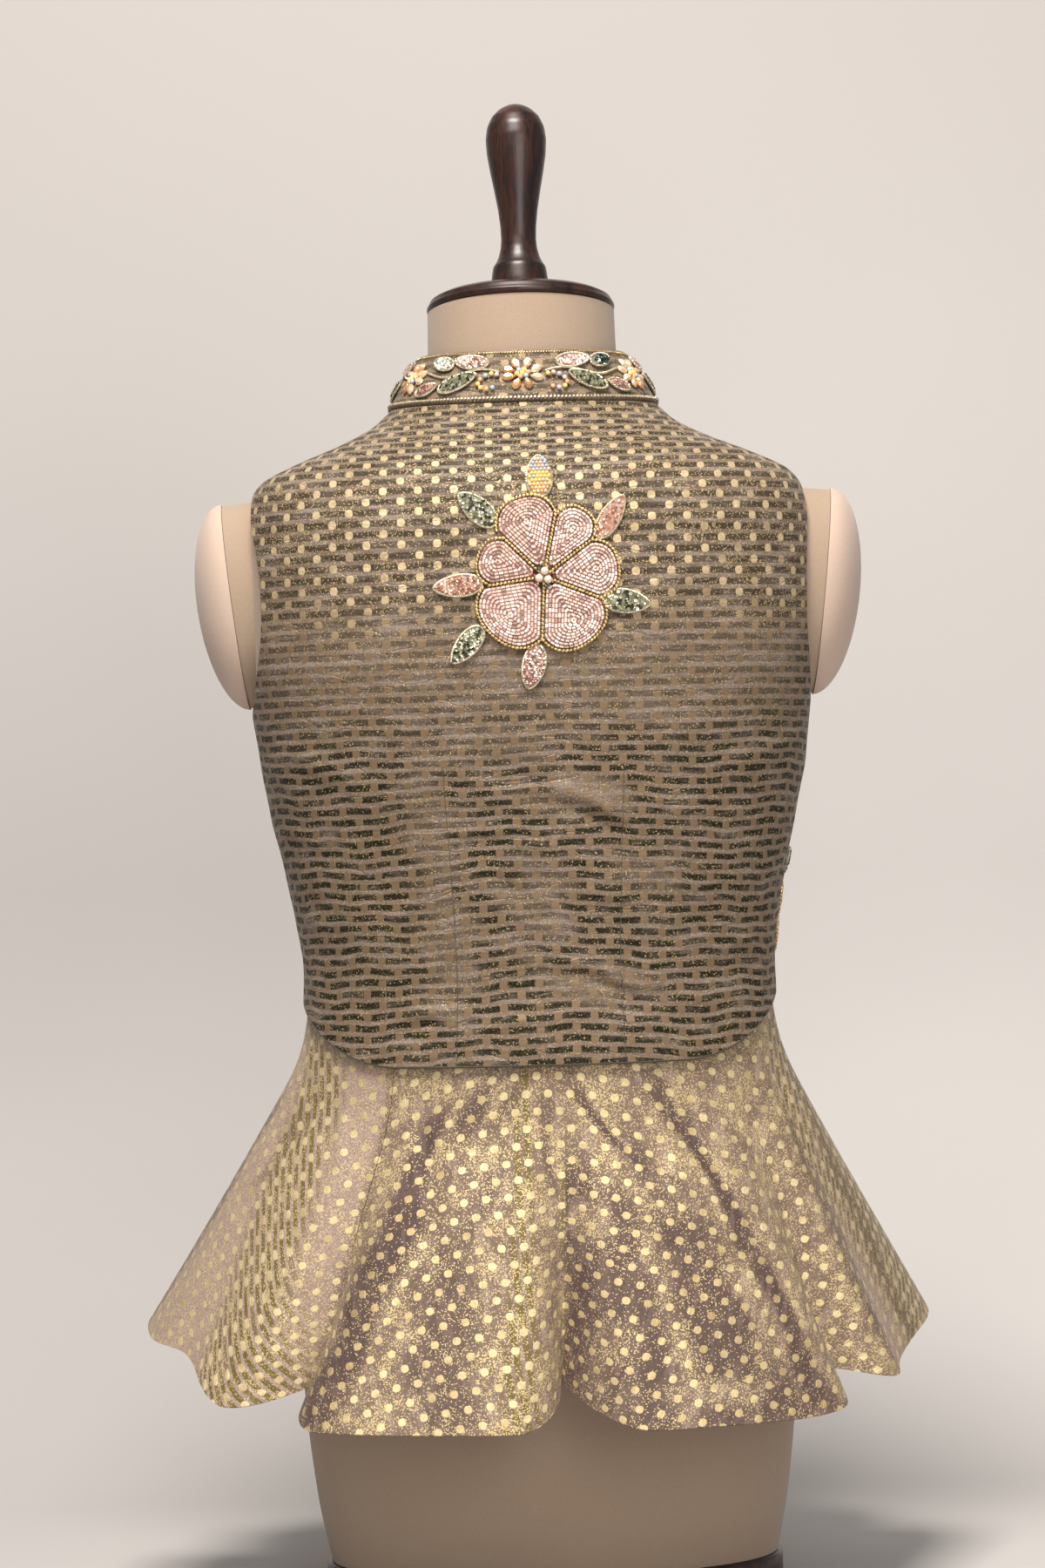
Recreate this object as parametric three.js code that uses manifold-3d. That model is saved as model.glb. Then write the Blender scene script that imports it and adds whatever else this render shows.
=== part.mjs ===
// Peplum top of dotted brocade on a limbless dress form with a turned wooden handle, in millimetres.
// +Z is up. The garment's back faces -Y and its front +Y, so the wearer's right is at +X.
// The origin is the middle of the base board's underside.
import * as THREE from "three";
import Module from "manifold-3d";
import { mergeVertices } from "three/addons/utils/BufferGeometryUtils.js";

const wasm = await Module();
wasm.setup();

// Driving dimensions
const BASE_THICK = 18; // the wooden board that closes the form
const SEAM_GAP = 0.3; // between two pieces that are sewn together
const CLOTH = 1.6; // the lined bodice's wall
const FLOUNCE = 1.4; // the peplum's wall
const BODICE_EASE = 2.6; // from the form to the bodice's inside
const HEM_EASE = 2.4; // the bodice stands this much further out at its hem
const WAIST_HEIGHT = 363; // the bodice's hem at the side seams
const HEM_DROP = 37; // how much lower the hem is at the centre back
const NAPE_HEIGHT = 722; // neckline at the centre back
const NECK_SIDE_HEIGHT = 724; // neckline at the shoulder seams
const NECK_FRONT_HEIGHT = 690; // neckline at the centre front
const UNDERARM_HEIGHT = 537;
const SHOULDER_TIP_HEIGHT = 682;
const ARMHOLE_TURN = 26; // degrees that the armhole takes from each panel at its widest
const LEFT_BACK_CUT = 1.22; // how much deeper the back panel's left armhole is cut
const COLLAR_HEIGHT = 36;
const PEPLUM_LENGTH = 230; // from the bodice's hem down the cloth
const PEPLUM_TUCK = 8; // sewn up under the bodice's hem
const FLARE_RUN = 62; // the length over which the peplum turns outward
const FLARE_START = 6; // degrees from upright at the bodice's hem
const FOLD_START = 20; // the folds begin this far down the cloth
const NECK_TILT = 7; // degrees that the neck block leans forward
const FRONT_OPENING = 0.5; // between the two fronts, which hooks inside hold together

// The form's horizontal sections: half width, depth behind and before the side line, roundness and forward shift
const BODY = [
  { z: 18, half: 138, back: 84, front: 84, power: 2.2, shift: 0 },
  { z: 60, half: 146, back: 93, front: 88, power: 2.2, shift: 0 },
  { z: 120, half: 152, back: 100, front: 92, power: 2.2, shift: 0 },
  { z: 175, half: 154, back: 102, front: 94, power: 2.2, shift: 0 },
  { z: 240, half: 151, back: 99, front: 95, power: 2.2, shift: 0 },
  { z: 300, half: 144.5, back: 94, front: 94.5, power: 2.2, shift: 0 },
  { z: 340, half: 141.5, back: 91.5, front: 94, power: 2.2, shift: 0 },
  { z: 363, half: 141, back: 91, front: 94, power: 2.2, shift: 0 },
  { z: 400, half: 143.5, back: 92, front: 98, power: 2.25, shift: 0 },
  { z: 450, half: 152.5, back: 96, front: 112, power: 2.3, shift: 0 },
  { z: 495, half: 162, back: 101, front: 127, power: 2.4, shift: 0 },
  { z: 537, half: 168, back: 105, front: 131, power: 2.5, shift: 0 },
  { z: 580, half: 173, back: 107, front: 122, power: 2.6, shift: 0 },
  { z: 615, half: 175, back: 106, front: 109, power: 2.6, shift: 0 },
  { z: 650, half: 173, back: 103, front: 95, power: 2.6, shift: 0 },
  { z: 670, half: 168, back: 99, front: 86, power: 2.5, shift: 0 },
  { z: 680, half: 161, back: 95, front: 80, power: 2.4, shift: 0 },
  { z: 690, half: 142, back: 90, front: 72, power: 2.3, shift: 0 },
  { z: 702, half: 113, back: 83, front: 66, power: 2.2, shift: 1 },
  { z: 713, half: 92, back: 74, front: 62, power: 2.1, shift: 2 },
  { z: 724, half: 80, back: 65, front: 59, power: 2, shift: 4 },
  { z: 736, half: 67, back: 59, front: 57, power: 2, shift: 6 },
  { z: 750, half: 59, back: 56, front: 56, power: 2, shift: 8 },
  { z: 790, half: 58, back: 56, front: 56, power: 2, shift: 13 },
];

// Folds of the peplum: turn from the centre back in degrees, half width in degrees, then millimetres at the hem:
// depth, lift, how far each lip closes over the fold and how far the fold's bottom leans round the body
const FOLDS = [
  { turn: -150, width: 11, depth: 34, lift: 12, close: 5, lean: 0 },
  { turn: -108, width: 12, depth: 38, lift: 14, close: 5, lean: 0 },
  { turn: -62, width: 15, depth: 9, lift: 3, close: 0, lean: 0 },
  { turn: -37, width: 9.5, depth: 38, lift: 21, close: 8, lean: 9 },
  { turn: 4.5, width: 9.5, depth: 44, lift: 24, close: 8, lean: -9 },
  { turn: 53, width: 10, depth: 42, lift: 10, close: 5, lean: 3 },
  { turn: 116, width: 10, depth: 34, lift: 12, close: 4, lean: 0 },
  { turn: 142, width: 11, depth: 36, lift: 12, close: 5, lean: 0 },
];
// Round the body: the peplum's steepest slope in degrees from upright, the degrees it drifts round by its hem,
// and how far its hem is raised
const FLARE = [
  { turn: -180, slope: 28, drift: 0, lift: 6 },
  { turn: -105, slope: 30, drift: -1, lift: 10 },
  { turn: -80, slope: 30.5, drift: -1, lift: 8 },
  { turn: -58, slope: 30, drift: -4, lift: 14 },
  { turn: -48, slope: 29.5, drift: -6, lift: 8 },
  { turn: -37, slope: 29, drift: -7, lift: 0 },
  { turn: 0, slope: 29, drift: 0, lift: 0 },
  { turn: 53, slope: 28.5, drift: 0, lift: 0 },
  { turn: 74, slope: 22, drift: 0, lift: 0 },
  { turn: 112, slope: 30.5, drift: 0, lift: 0 },
  { turn: 180, slope: 28, drift: 0, lift: 6 },
];
const SEAM_LEFT = -37; // the peplum's seams lie in two of its folds
const SEAM_RIGHT = 53;

const radians = THREE.MathUtils.degToRad;
const degrees = THREE.MathUtils.radToDeg;
const smooth = (t) => THREE.MathUtils.smoothstep(t, 0, 1);
const mix = THREE.MathUtils.lerp;

// A smooth curve through one column of a table, with no overshoot
function curveThrough(rows, at, column) {
  const x = rows.map((row) => row[at]);
  const y = rows.map((row) => row[column]);
  const rise = x.slice(1).map((v, k) => (y[k + 1] - y[k]) / (v - x[k]));
  const slope = x.map((_, k) => {
    const before = rise[Math.max(k - 1, 0)];
    const after = rise[Math.min(k, rise.length - 1)];
    return before * after > 0 ? (2 * before * after) / (before + after) : 0;
  });
  return (v) => {
    const inside = THREE.MathUtils.clamp(v, x[0], x[x.length - 1]);
    let k = 0;
    while (k < x.length - 2 && inside > x[k + 1]) k++;
    const run = x[k + 1] - x[k];
    const t = (inside - x[k]) / run;
    return (
      y[k] * (1 + 2 * t) * (1 - t) ** 2 +
      slope[k] * run * t * (1 - t) ** 2 +
      y[k + 1] * t * t * (3 - 2 * t) +
      slope[k + 1] * run * t * t * (t - 1)
    );
  };
}

const bodyHalf = curveThrough(BODY, "z", "half");
const bodyBack = curveThrough(BODY, "z", "back");
const bodyFront = curveThrough(BODY, "z", "front");
const bodyPower = curveThrough(BODY, "z", "power");
const bodyShift = curveThrough(BODY, "z", "shift");
const flareSlope = curveThrough(FLARE, "turn", "slope");
const flareDrift = curveThrough(FLARE, "turn", "drift");
const flareLift = curveThrough(FLARE, "turn", "lift");

// A point of the form's surface: turn is in degrees from the centre back towards +X
function bodySurface(turn, z) {
  const power = bodyPower(z);
  const across = Math.sin(radians(turn));
  const behind = Math.cos(radians(turn));
  const reach = (Math.abs(across) ** power + Math.abs(behind) ** power) ** (-1 / power);
  const depth = behind > 0 ? bodyBack(z) : bodyFront(z);
  return new THREE.Vector3(
    bodyHalf(z) * across * reach,
    bodyShift(z) - depth * behind * reach,
    z,
  );
}

// The same point moved out along the surface's normal
function bodyPoint(turn, z, out) {
  const step = 0.4;
  const round = bodySurface(turn + step, z).sub(bodySurface(turn - step, z));
  const up = bodySurface(turn, z + step).sub(bodySurface(turn, z - step));
  return bodySurface(turn, z).addScaledVector(round.cross(up).normalize(), out);
}

// Geometry builders

function geometryOf(points, faces) {
  const geometry = new THREE.BufferGeometry();
  geometry.setAttribute(
    "position",
    new THREE.Float32BufferAttribute(points.flatMap((p) => [p.x, p.y, p.z]), 3),
  );
  geometry.setIndex(faces.flat());
  geometry.computeVertexNormals();
  return geometry;
}

// Two triangles for the quad a, b, c, d, in the order seen from outside, and the same cut along the other diagonal
const quad = (a, b, c, d) => [a, b, c, a, c, d];
const crossQuad = (a, b, c, d) => [b, c, d, b, d, a];

// A closed wall between an outer and an inner grid of rows, which run from the bottom up and from left to right
function wallGeometry(outer, inner) {
  const rows = outer.length;
  const columns = outer[0].length;
  const points = [...outer.flat(), ...inner.flat()];
  const out = (j, i) => j * columns + i;
  const inn = (j, i) => (rows + j) * columns + i;
  const faces = [];
  for (let j = 0; j < rows - 1; j++) {
    for (let i = 0; i < columns - 1; i++) {
      const rising = outer[j][i].distanceTo(outer[j + 1][i + 1]);
      const falling = outer[j + 1][i].distanceTo(outer[j][i + 1]);
      const cut = rising <= falling ? quad : crossQuad; // along the shorter diagonal
      faces.push(cut(out(j, i), out(j, i + 1), out(j + 1, i + 1), out(j + 1, i)));
      faces.push(cut(inn(j, i), inn(j + 1, i), inn(j + 1, i + 1), inn(j, i + 1)));
    }
    const end = columns - 1;
    faces.push(quad(out(j, 0), out(j + 1, 0), inn(j + 1, 0), inn(j, 0)));
    faces.push(quad(out(j, end), inn(j, end), inn(j + 1, end), out(j + 1, end)));
  }
  for (let i = 0; i < columns - 1; i++) {
    const top = rows - 1;
    faces.push(quad(out(0, i), inn(0, i), inn(0, i + 1), out(0, i + 1)));
    faces.push(quad(out(top, i), out(top, i + 1), inn(top, i + 1), inn(top, i)));
  }
  return geometryOf(points, faces);
}

// A closed solid through rings of points, anticlockwise from above and from the bottom up, with flat or domed ends
function loftGeometry(rings, endPoints) {
  const count = rings[0].length;
  const points = rings.flat();
  const faces = [];
  for (let j = 0; j < rings.length - 1; j++) {
    for (let i = 0; i < count; i++) {
      const next = (i + 1) % count;
      const low = j * count;
      const high = low + count;
      faces.push(quad(low + i, low + next, high + next, high + i));
    }
  }
  const bottom = points.push(endPoints[0]) - 1;
  const top = points.push(endPoints[1]) - 1;
  const last = (rings.length - 1) * count;
  for (let i = 0; i < count; i++) {
    const next = (i + 1) % count;
    faces.push([bottom, next, i], [top, last + i, last + next]);
  }
  return geometryOf(points, faces);
}

function solidOf(geometry) {
  const bare = geometry.clone();
  for (const name of ["normal", "uv"]) bare.deleteAttribute(name);
  const merged = mergeVertices(bare, 1e-4);
  return new wasm.Manifold(
    new wasm.Mesh({
      numProp: 3,
      vertProperties: merged.getAttribute("position").array,
      triVerts: new Uint32Array(merged.index.array),
    }),
  );
}

function geometryFrom(solid) {
  const mesh = solid.getMesh();
  const geometry = new THREE.BufferGeometry();
  geometry.setAttribute("position", new THREE.BufferAttribute(mesh.vertProperties, 3));
  geometry.setIndex(new THREE.BufferAttribute(mesh.triVerts, 1));
  geometry.computeVertexNormals();
  return geometry;
}

const range = (count, at) => Array.from({ length: count + 1 }, (_, k) => at(k / count));

// Materials

const finish = (color, roughness, metalness = 0) =>
  new THREE.MeshStandardMaterial({ color, roughness, metalness });
const brocade = finish(0x75665a, 0.55, 0.35);
const linen = finish(0xd9c2ae, 0.9);
const walnut = finish(0x2e1b14, 0.25);
const pinkGlass = finish(0xd9a3a0, 0.3);
const greenSequin = finish(0x9aa283, 0.35, 0.4);
const peachSequin = finish(0xe0a48e, 0.4, 0.2);
const pastelBeads = finish(0xf0cf7a, 0.4);
const amberCrystal = finish(0xe0a878, 0.15);
const pearl = finish(0xf2e2d2, 0.2);

const root = new THREE.Group();

function addNode(parent, name, geometry, material) {
  const mesh = new THREE.Mesh(geometry, material);
  mesh.name = name;
  parent.add(mesh);
  return mesh;
}

// Dress form

const BODY_RING = 32;
const bodyRing = (z, out) =>
  range(BODY_RING, (t) => bodyPoint(360 * t, z, out)).slice(0, BODY_RING);

// The neck's upper sections lean forward, so that the wooden block sits square on the last one
function neckRing(z) {
  const lean = Math.tan(radians(NECK_TILT)) * smooth((z - 738) / 30);
  return bodyRing(z, 0).map((p) => p.setZ(z - (p.y - bodyShift(z)) * lean));
}

const NECK_TOP = 787;
const NECK_LEAN_FROM = 738;
const BODY_LEVELS = [
  18.3, 60, 115, 175, 235, 290, 330, 363, 400, 440, 480, 515, 545, 580, 615, 645, 662, 674, 681, 686,
  692, 699, 706, 713, 720, 728, NECK_LEAN_FROM, 755, 768, NECK_TOP,
];

function torsoGeometry() {
  const rings = BODY_LEVELS.map((z) => (z > NECK_LEAN_FROM ? neckRing(z) : bodyRing(z, 0)));
  const middle = (z) => new THREE.Vector3(0, bodyShift(z), z);
  return loftGeometry(rings, [middle(BODY_LEVELS[0]), middle(NECK_TOP)]);
}

// The arm stub's oval, as seen from the side, and the leaning plane where its cap is sewn on
const STUB = { top: 671, bottom: 546, depth: 42, middle: -1, start: 120, grow: 7, power: 2.1 };
const CAP_PLANE = { topX: 188, bottomX: 174 };
const CAP_RISE = 24;
const CAP_LIP = 1.2; // the cap is this much larger than the stub
const STUB_SIDES = 28;
const stubHalfHeight = (STUB.top - STUB.bottom) / 2;
const stubMiddle = (STUB.top + STUB.bottom) / 2;
const capPlaneX = (z) =>
  mix(CAP_PLANE.bottomX, CAP_PLANE.topX, (z - STUB.bottom) / (STUB.top - STUB.bottom));

// One point of the oval, where share is 1 on the stub's edge and 0 in its middle
function stubOval(t, share, grow = 0) {
  const up = Math.cos(2 * Math.PI * t);
  const back = Math.sin(2 * Math.PI * t);
  const reach = (Math.abs(up) ** STUB.power + Math.abs(back) ** STUB.power) ** (-1 / STUB.power);
  return {
    y: STUB.middle - (STUB.depth + grow) * back * reach * share,
    z: stubMiddle + (stubHalfHeight + grow) * up * reach * share,
  };
}

function stubGeometry(side) {
  const ring = (place, grow = 0) =>
    range(STUB_SIDES, (t) => {
      const { y, z } = stubOval(side * t, 1, grow);
      return new THREE.Vector3(side * place(z), y, z);
    }).slice(0, STUB_SIDES);
  const rings = [ring(() => STUB.start, STUB.grow), ring(() => 165, STUB.grow / 2), ring(capPlaneX)];
  const middle = (x) => new THREE.Vector3(side * x, STUB.middle, stubMiddle);
  return loftGeometry(rings, [middle(STUB.start), middle(capPlaneX(stubMiddle))]);
}

function armCapGeometry(side) {
  const dome = (share) => CAP_RISE * Math.sqrt(1 - share ** 2);
  const place = (t, share, out) => {
    const { y, z } = stubOval(side * t, share, CAP_LIP);
    return new THREE.Vector3(side * (capPlaneX(z) + SEAM_GAP + out), y, z);
  };
  const shares = [1, 0.985, 0.95, 0.87, 0.72, 0.5, 0.25];
  const rings = shares.map((share) =>
    range(STUB_SIDES, (t) => place(t, share, dome(share))).slice(0, STUB_SIDES),
  );
  return loftGeometry(rings, [place(0, 0, 0), place(0, 0, CAP_RISE)]);
}

function addForm() {
  const torso = solidOf(torsoGeometry())
    .add(solidOf(stubGeometry(-1)))
    .add(solidOf(stubGeometry(1)));
  addNode(root, "form_torso", geometryFrom(torso), linen);
  addNode(root, "form_arm_cap_left", armCapGeometry(-1), linen);
  addNode(root, "form_arm_cap_right", armCapGeometry(1), linen);
  addNode(root, "form_base_board", baseBoardGeometry(), walnut);

  const neckBlock = new THREE.Group();
  neckBlock.position.set(0, bodyShift(NECK_TOP), NECK_TOP + SEAM_GAP);
  neckBlock.rotation.x = -radians(NECK_TILT);
  addNode(neckBlock, "form_neck_disc", turnedGeometry(DISC_PROFILE, 0), walnut);
  addNode(neckBlock, "form_handle", turnedGeometry(HANDLE_PROFILE, DISC_TOP + SEAM_GAP), walnut);
  root.add(neckBlock);
}

function baseBoardGeometry() {
  const edge = 2; // the rounded arris
  const board = (z, out) => bodyRing(BASE_THICK, out).map((p) => p.setZ(z));
  const rings = [board(0, 1), board(edge, 3), board(BASE_THICK - edge, 3), board(BASE_THICK, 1)];
  return loftGeometry(rings, [new THREE.Vector3(), new THREE.Vector3(0, 0, BASE_THICK)]);
}

// Turned profiles: height and radius
const DISC_TOP = 15;
const DISC_PROFILE = [
  { z: 0, r: 56.5 },
  { z: 1, r: 58.2 },
  { z: 3, r: 58.6 },
  { z: 4.6, r: 57.6 },
  { z: 7.2, r: 56.4 },
  { z: 9.4, r: 52 },
  { z: 11.6, r: 42 },
  { z: 13.4, r: 30 },
  { z: DISC_TOP, r: 21 },
];
const HANDLE_PROFILE = [
  { z: 0, r: 17.8 },
  { z: 3.4, r: 18 },
  { z: 11.2, r: 16.9 },
  { z: 14.2, r: 16.4 },
  { z: 16, r: 14.8 },
  { z: 20.3, r: 12.8 },
  { z: 26, r: 11.4 },
  { z: 31.9, r: 10.9 },
  { z: 39.9, r: 11.2 },
  { z: 50.9, r: 12.4 },
  { z: 63.8, r: 14.6 },
  { z: 74.6, r: 16.6 },
  { z: 85.9, r: 18.4 },
  { z: 95.7, r: 19 },
  { z: 103.6, r: 17.9 },
  { z: 110.1, r: 14.9 },
  { z: 114.8, r: 10.2 },
  { z: 117.5, r: 5 },
  { z: 118.5, r: 0 },
];
const TURNED_SIDES = 20;

function turnedGeometry(profile, lift) {
  const points = [{ z: 0, r: 0 }, ...profile];
  if (points[points.length - 1].r > 0) points.push({ z: points[points.length - 1].z, r: 0 });
  const geometry = new THREE.LatheGeometry(
    points.map((p) => new THREE.Vector2(p.r, p.z)),
    TURNED_SIDES,
  );
  return geometry.rotateX(Math.PI / 2).translate(0, 0, lift);
}

// Bodice

// The bodice's hem is level in front and drops in a round-cornered curve behind
const hemHeight = (turn) => WAIST_HEIGHT - HEM_DROP * (1 - smooth((Math.abs(turn) - 35) / 55));
const bodiceEase = (z) =>
  BODICE_EASE + HEM_EASE * smooth((WAIST_HEIGHT + 25 - z) / 55);

// The neckline ring: level behind and dropping towards the centre front
function necklineHeight(turn) {
  const away = Math.abs(turn);
  return away < 90
    ? mix(NAPE_HEIGHT, NECK_SIDE_HEIGHT, smooth(away / 90))
    : mix(NECK_SIDE_HEIGHT, NECK_FRONT_HEIGHT, smooth((away - 90) / 90));
}

// Rows of the bodice from the hem up: heights at the panel's outer edge and in the middle of the body, and how far
// that edge draws back
const LOWER_ROWS = 8;
const ARMHOLE_ROWS = 9;
const SHOULDER_ROWS = 5;
const CHEST_HEIGHT = 600; // from here up, the front's rows tip towards the low neckline

function bodiceRows() {
  const rows = range(LOWER_ROWS, (t) => {
    const edge = mix(WAIST_HEIGHT, UNDERARM_HEIGHT, t);
    return { hem: 1 - t, edge, middle: edge, back: 0 };
  });
  const tall = SHOULDER_TIP_HEIGHT - UNDERARM_HEIGHT;
  for (let k = 1; k <= ARMHOLE_ROWS; k++) {
    const t = (Math.PI * k) / ARMHOLE_ROWS;
    rows.push({
      hem: 0,
      edge: UNDERARM_HEIGHT + (tall * (1 - Math.cos(t))) / 2,
      middle: UNDERARM_HEIGHT + (tall * k) / ARMHOLE_ROWS,
      back: ARMHOLE_TURN * Math.sin(t),
    });
  }
  for (let k = 1; k <= SHOULDER_ROWS; k++) {
    const edge = mix(SHOULDER_TIP_HEIGHT, NECK_SIDE_HEIGHT, (k / SHOULDER_ROWS) ** 0.9);
    rows.push({ hem: 0, edge, middle: edge, back: 0 });
  }
  return rows;
}

// The height of a row's point at some turn, which blends the level rows into the hem below and the neckline above
function rowHeight(row, turn) {
  if (row.hem > 0) return mix(UNDERARM_HEIGHT, hemHeight(turn), row.hem);
  const base = Math.abs(turn) < 90 ? NECK_SIDE_HEIGHT - 30 : CHEST_HEIGHT;
  const fromSide = Math.abs(Math.abs(turn) - 90) / 90;
  const level = mix(row.edge, row.middle, 1 - (1 - fromSide) ** 2);
  if (level <= base) return level;
  const share = (level - base) / (NECK_SIDE_HEIGHT - base);
  return mix(base, necklineHeight(turn), share);
}

// A panel of the bodice between two turns. An edge at the side seam follows the armhole
function bodicePanel(from, to, columns) {
  const isSide = (turn) => Math.abs(Math.abs(turn) - 90) < 1;
  const wall = (lift) =>
    bodiceRows().map((row) => {
      const drawBack = (turn, towards) => {
        const cut = turn < 0 && towards > 0 ? LEFT_BACK_CUT : 1;
        return isSide(turn) ? turn + towards * cut * row.back : turn;
      };
      const start = drawBack(from, 1);
      const end = drawBack(to, -1);
      return range(columns, (t) => {
        const flat = mix(from, to, t); // the turn that sets the height, free of the armhole
        const turn = mix(start, end, t);
        const z = rowHeight(row, flat);
        return bodyPoint(turn, z, bodiceEase(z) + lift);
      });
    });
  return wallGeometry(wall(CLOTH), wall(0));
}

function addBodice() {
  const seam = degrees(SEAM_GAP / 2 / 150);
  const opening = degrees(FRONT_OPENING / 2 / 60);
  addNode(root, "bodice_back", bodicePanel(-90 + seam, 90 - seam, 20), brocade);
  addNode(root, "bodice_front_right", bodicePanel(90 + seam, 180 - opening, 13), brocade);
  addNode(root, "bodice_front_left", bodicePanel(-180 + opening, -90 - seam, 13), brocade);
  addNode(root, "collar", collarGeometry(opening), brocade);
}

// Collar: a standing band that leans in from the neckline towards the neck

const COLLAR_COLUMNS = 44;
const COLLAR_WALL = 1.6;
const COLLAR_TOP_EASE = 3.4; // from the neck to the collar's inside at its top

function collarFoot(turn, lift) {
  const z = necklineHeight(turn);
  return bodyPoint(turn, z, BODICE_EASE + lift).add(new THREE.Vector3(0, 0, 1.6));
}

function collarHead(turn, lift) {
  const across = Math.sin(radians(turn));
  const behind = Math.cos(radians(turn));
  const ease = COLLAR_TOP_EASE + lift;
  const level = necklineHeight(turn) + COLLAR_HEIGHT;
  return new THREE.Vector3((59 + ease) * across, bodyShift(level) - (56 + ease) * behind, level);
}

// A point of the collar: up is 0 at its seam and 1 at its top edge, and out is counted from its outer face
function collarPoint(turn, up, out) {
  const lift = COLLAR_WALL + out;
  const bow = 1.2 * Math.sin(Math.PI * up); // the band is a little rounded
  return collarFoot(turn, lift).lerp(collarHead(turn, lift), up).add(
    new THREE.Vector3(Math.sin(radians(turn)) * bow, -Math.cos(radians(turn)) * bow, 0),
  );
}

function collarGeometry(opening) {
  const wall = (out) =>
    range(3, (up) =>
      range(COLLAR_COLUMNS, (t) => collarPoint(mix(-180 + opening, 180 - opening, t), up, out)),
    );
  return wallGeometry(wall(0), wall(-COLLAR_WALL));
}

// Peplum

// How strongly each fold draws the cloth in at a turn: 1 in its middle
const foldShare = (fold, turn) => {
  const away = (turn - fold.turn) / fold.width;
  return Math.abs(away) < 1 ? (1 + Math.cos(Math.PI * away)) / 2 : 0;
};
// Sideways pull that closes the lips of a fold and leans its bottom
const foldClose = (fold, turn) => {
  const away = (turn - fold.turn) / fold.width;
  return Math.abs(away) < 1 ? fold.lean * foldShare(fold, turn) - Math.sin(Math.PI * away) * fold.close : 0;
};

// Reach and drop down the cloth, from turning the slope outward over the first stretch
function flareAt(slope, along) {
  const steps = 24;
  let reach = 0;
  let drop = 0;
  for (let k = 0; k < steps; k++) {
    const s = ((k + 0.5) / steps) * along;
    const lean = radians(mix(FLARE_START, slope, smooth(s / FLARE_RUN)));
    reach += (Math.sin(lean) * along) / steps;
    drop += (Math.cos(lean) * along) / steps;
  }
  return { reach, drop };
}

// A point of the peplum: along is the distance down the cloth from the bodice's hem
function peplumMiddle(turn, along) {
  const hem = hemHeight(turn);
  if (along <= 0) return bodyPoint(turn, hem - along, 0.9 + FLOUNCE / 2);
  const { reach, drop } = flareAt(flareSlope(turn), along);
  const down = Math.max(along - FOLD_START, 0) / (PEPLUM_LENGTH - FOLD_START);
  let draw = 0;
  let lift = flareLift(turn) * down ** 2;
  let sideways = 0;
  for (const fold of FOLDS) {
    draw += fold.depth * foldShare(fold, turn) * down ** 1.4;
    lift += fold.lift * foldShare(fold, turn) * down ** 2;
    sideways += foldClose(fold, turn) * down ** 1.5;
  }
  const drifted = turn + flareDrift(turn) * down;
  const across = Math.sin(radians(drifted));
  const behind = Math.cos(radians(drifted));
  const out = reach - draw;
  return bodyPoint(drifted, hem, 0.9 + FLOUNCE / 2).add(
    new THREE.Vector3(
      across * out + behind * sideways,
      -behind * out + across * sideways,
      lift - drop,
    ),
  );
}

function peplumPoint(turn, along, out) {
  const step = 0.3;
  const round = peplumMiddle(turn + step, along).sub(peplumMiddle(turn - step, along));
  const up = peplumMiddle(turn, along - step).sub(peplumMiddle(turn, along + step));
  return peplumMiddle(turn, along).addScaledVector(round.cross(up).normalize(), out);
}

// Turns of the peplum's columns between two seams: close together in the folds and wide apart on the rounds
function peplumTurns(from, to) {
  const shares = [-1, -0.74, -0.5, -0.26, 0, 0.26, 0.5, 0.74, 1];
  const turns = [from, to];
  for (const fold of FOLDS) {
    for (const share of shares) {
      const turn = fold.turn + share * fold.width;
      if (turn > from + 1 && turn < to - 1) turns.push(turn);
    }
  }
  turns.sort((a, b) => a - b);
  return turns.flatMap((turn, k) => {
    const gap = k ? turn - turns[k - 1] : 0;
    const extra = gap > 10 ? Math.round(gap / 7) - 1 : 0;
    return [...range(extra + 1, (t) => mix(turns[k - 1], turn, t)).slice(1, -1), turn];
  });
}

const PEPLUM_ALONG = [1, 0.84, 0.67, 0.5, 0.34, 0.2, 0.09, 0];

function peplumPanel(from, to) {
  const turns = peplumTurns(from, to);
  const rows = [...PEPLUM_ALONG.map((share) => share * PEPLUM_LENGTH), -PEPLUM_TUCK];
  const wall = (out) => rows.map((along) => turns.map((turn) => peplumPoint(turn, along, out)));
  return wallGeometry(wall(FLOUNCE / 2), wall(-FLOUNCE / 2));
}

function addPeplum() {
  const seam = degrees(SEAM_GAP / 2 / 95);
  const opening = degrees(FRONT_OPENING / 2 / 95);
  addNode(root, "peplum_back", peplumPanel(SEAM_LEFT + seam, SEAM_RIGHT - seam), brocade);
  addNode(root, "peplum_left", peplumPanel(-180 + opening, SEAM_LEFT - seam), brocade);
  addNode(root, "peplum_right", peplumPanel(SEAM_RIGHT + seam, 180 - opening), brocade);
}

// Beadwork: raised petals and leaves that lie on the cloth. Outlines are lists of points in a motif's own plane,
// x to the right and z up as seen from outside, clockwise

const CHAIN_WIDTH = 2.8; // the gold chain that is laid between the petals
const PETAL_THICK = 2.6;
const LEAF_THICK = 2;
const pointAt = (angle, r) => ({ x: r * Math.cos(radians(angle)), z: r * Math.sin(radians(angle)) });

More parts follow.
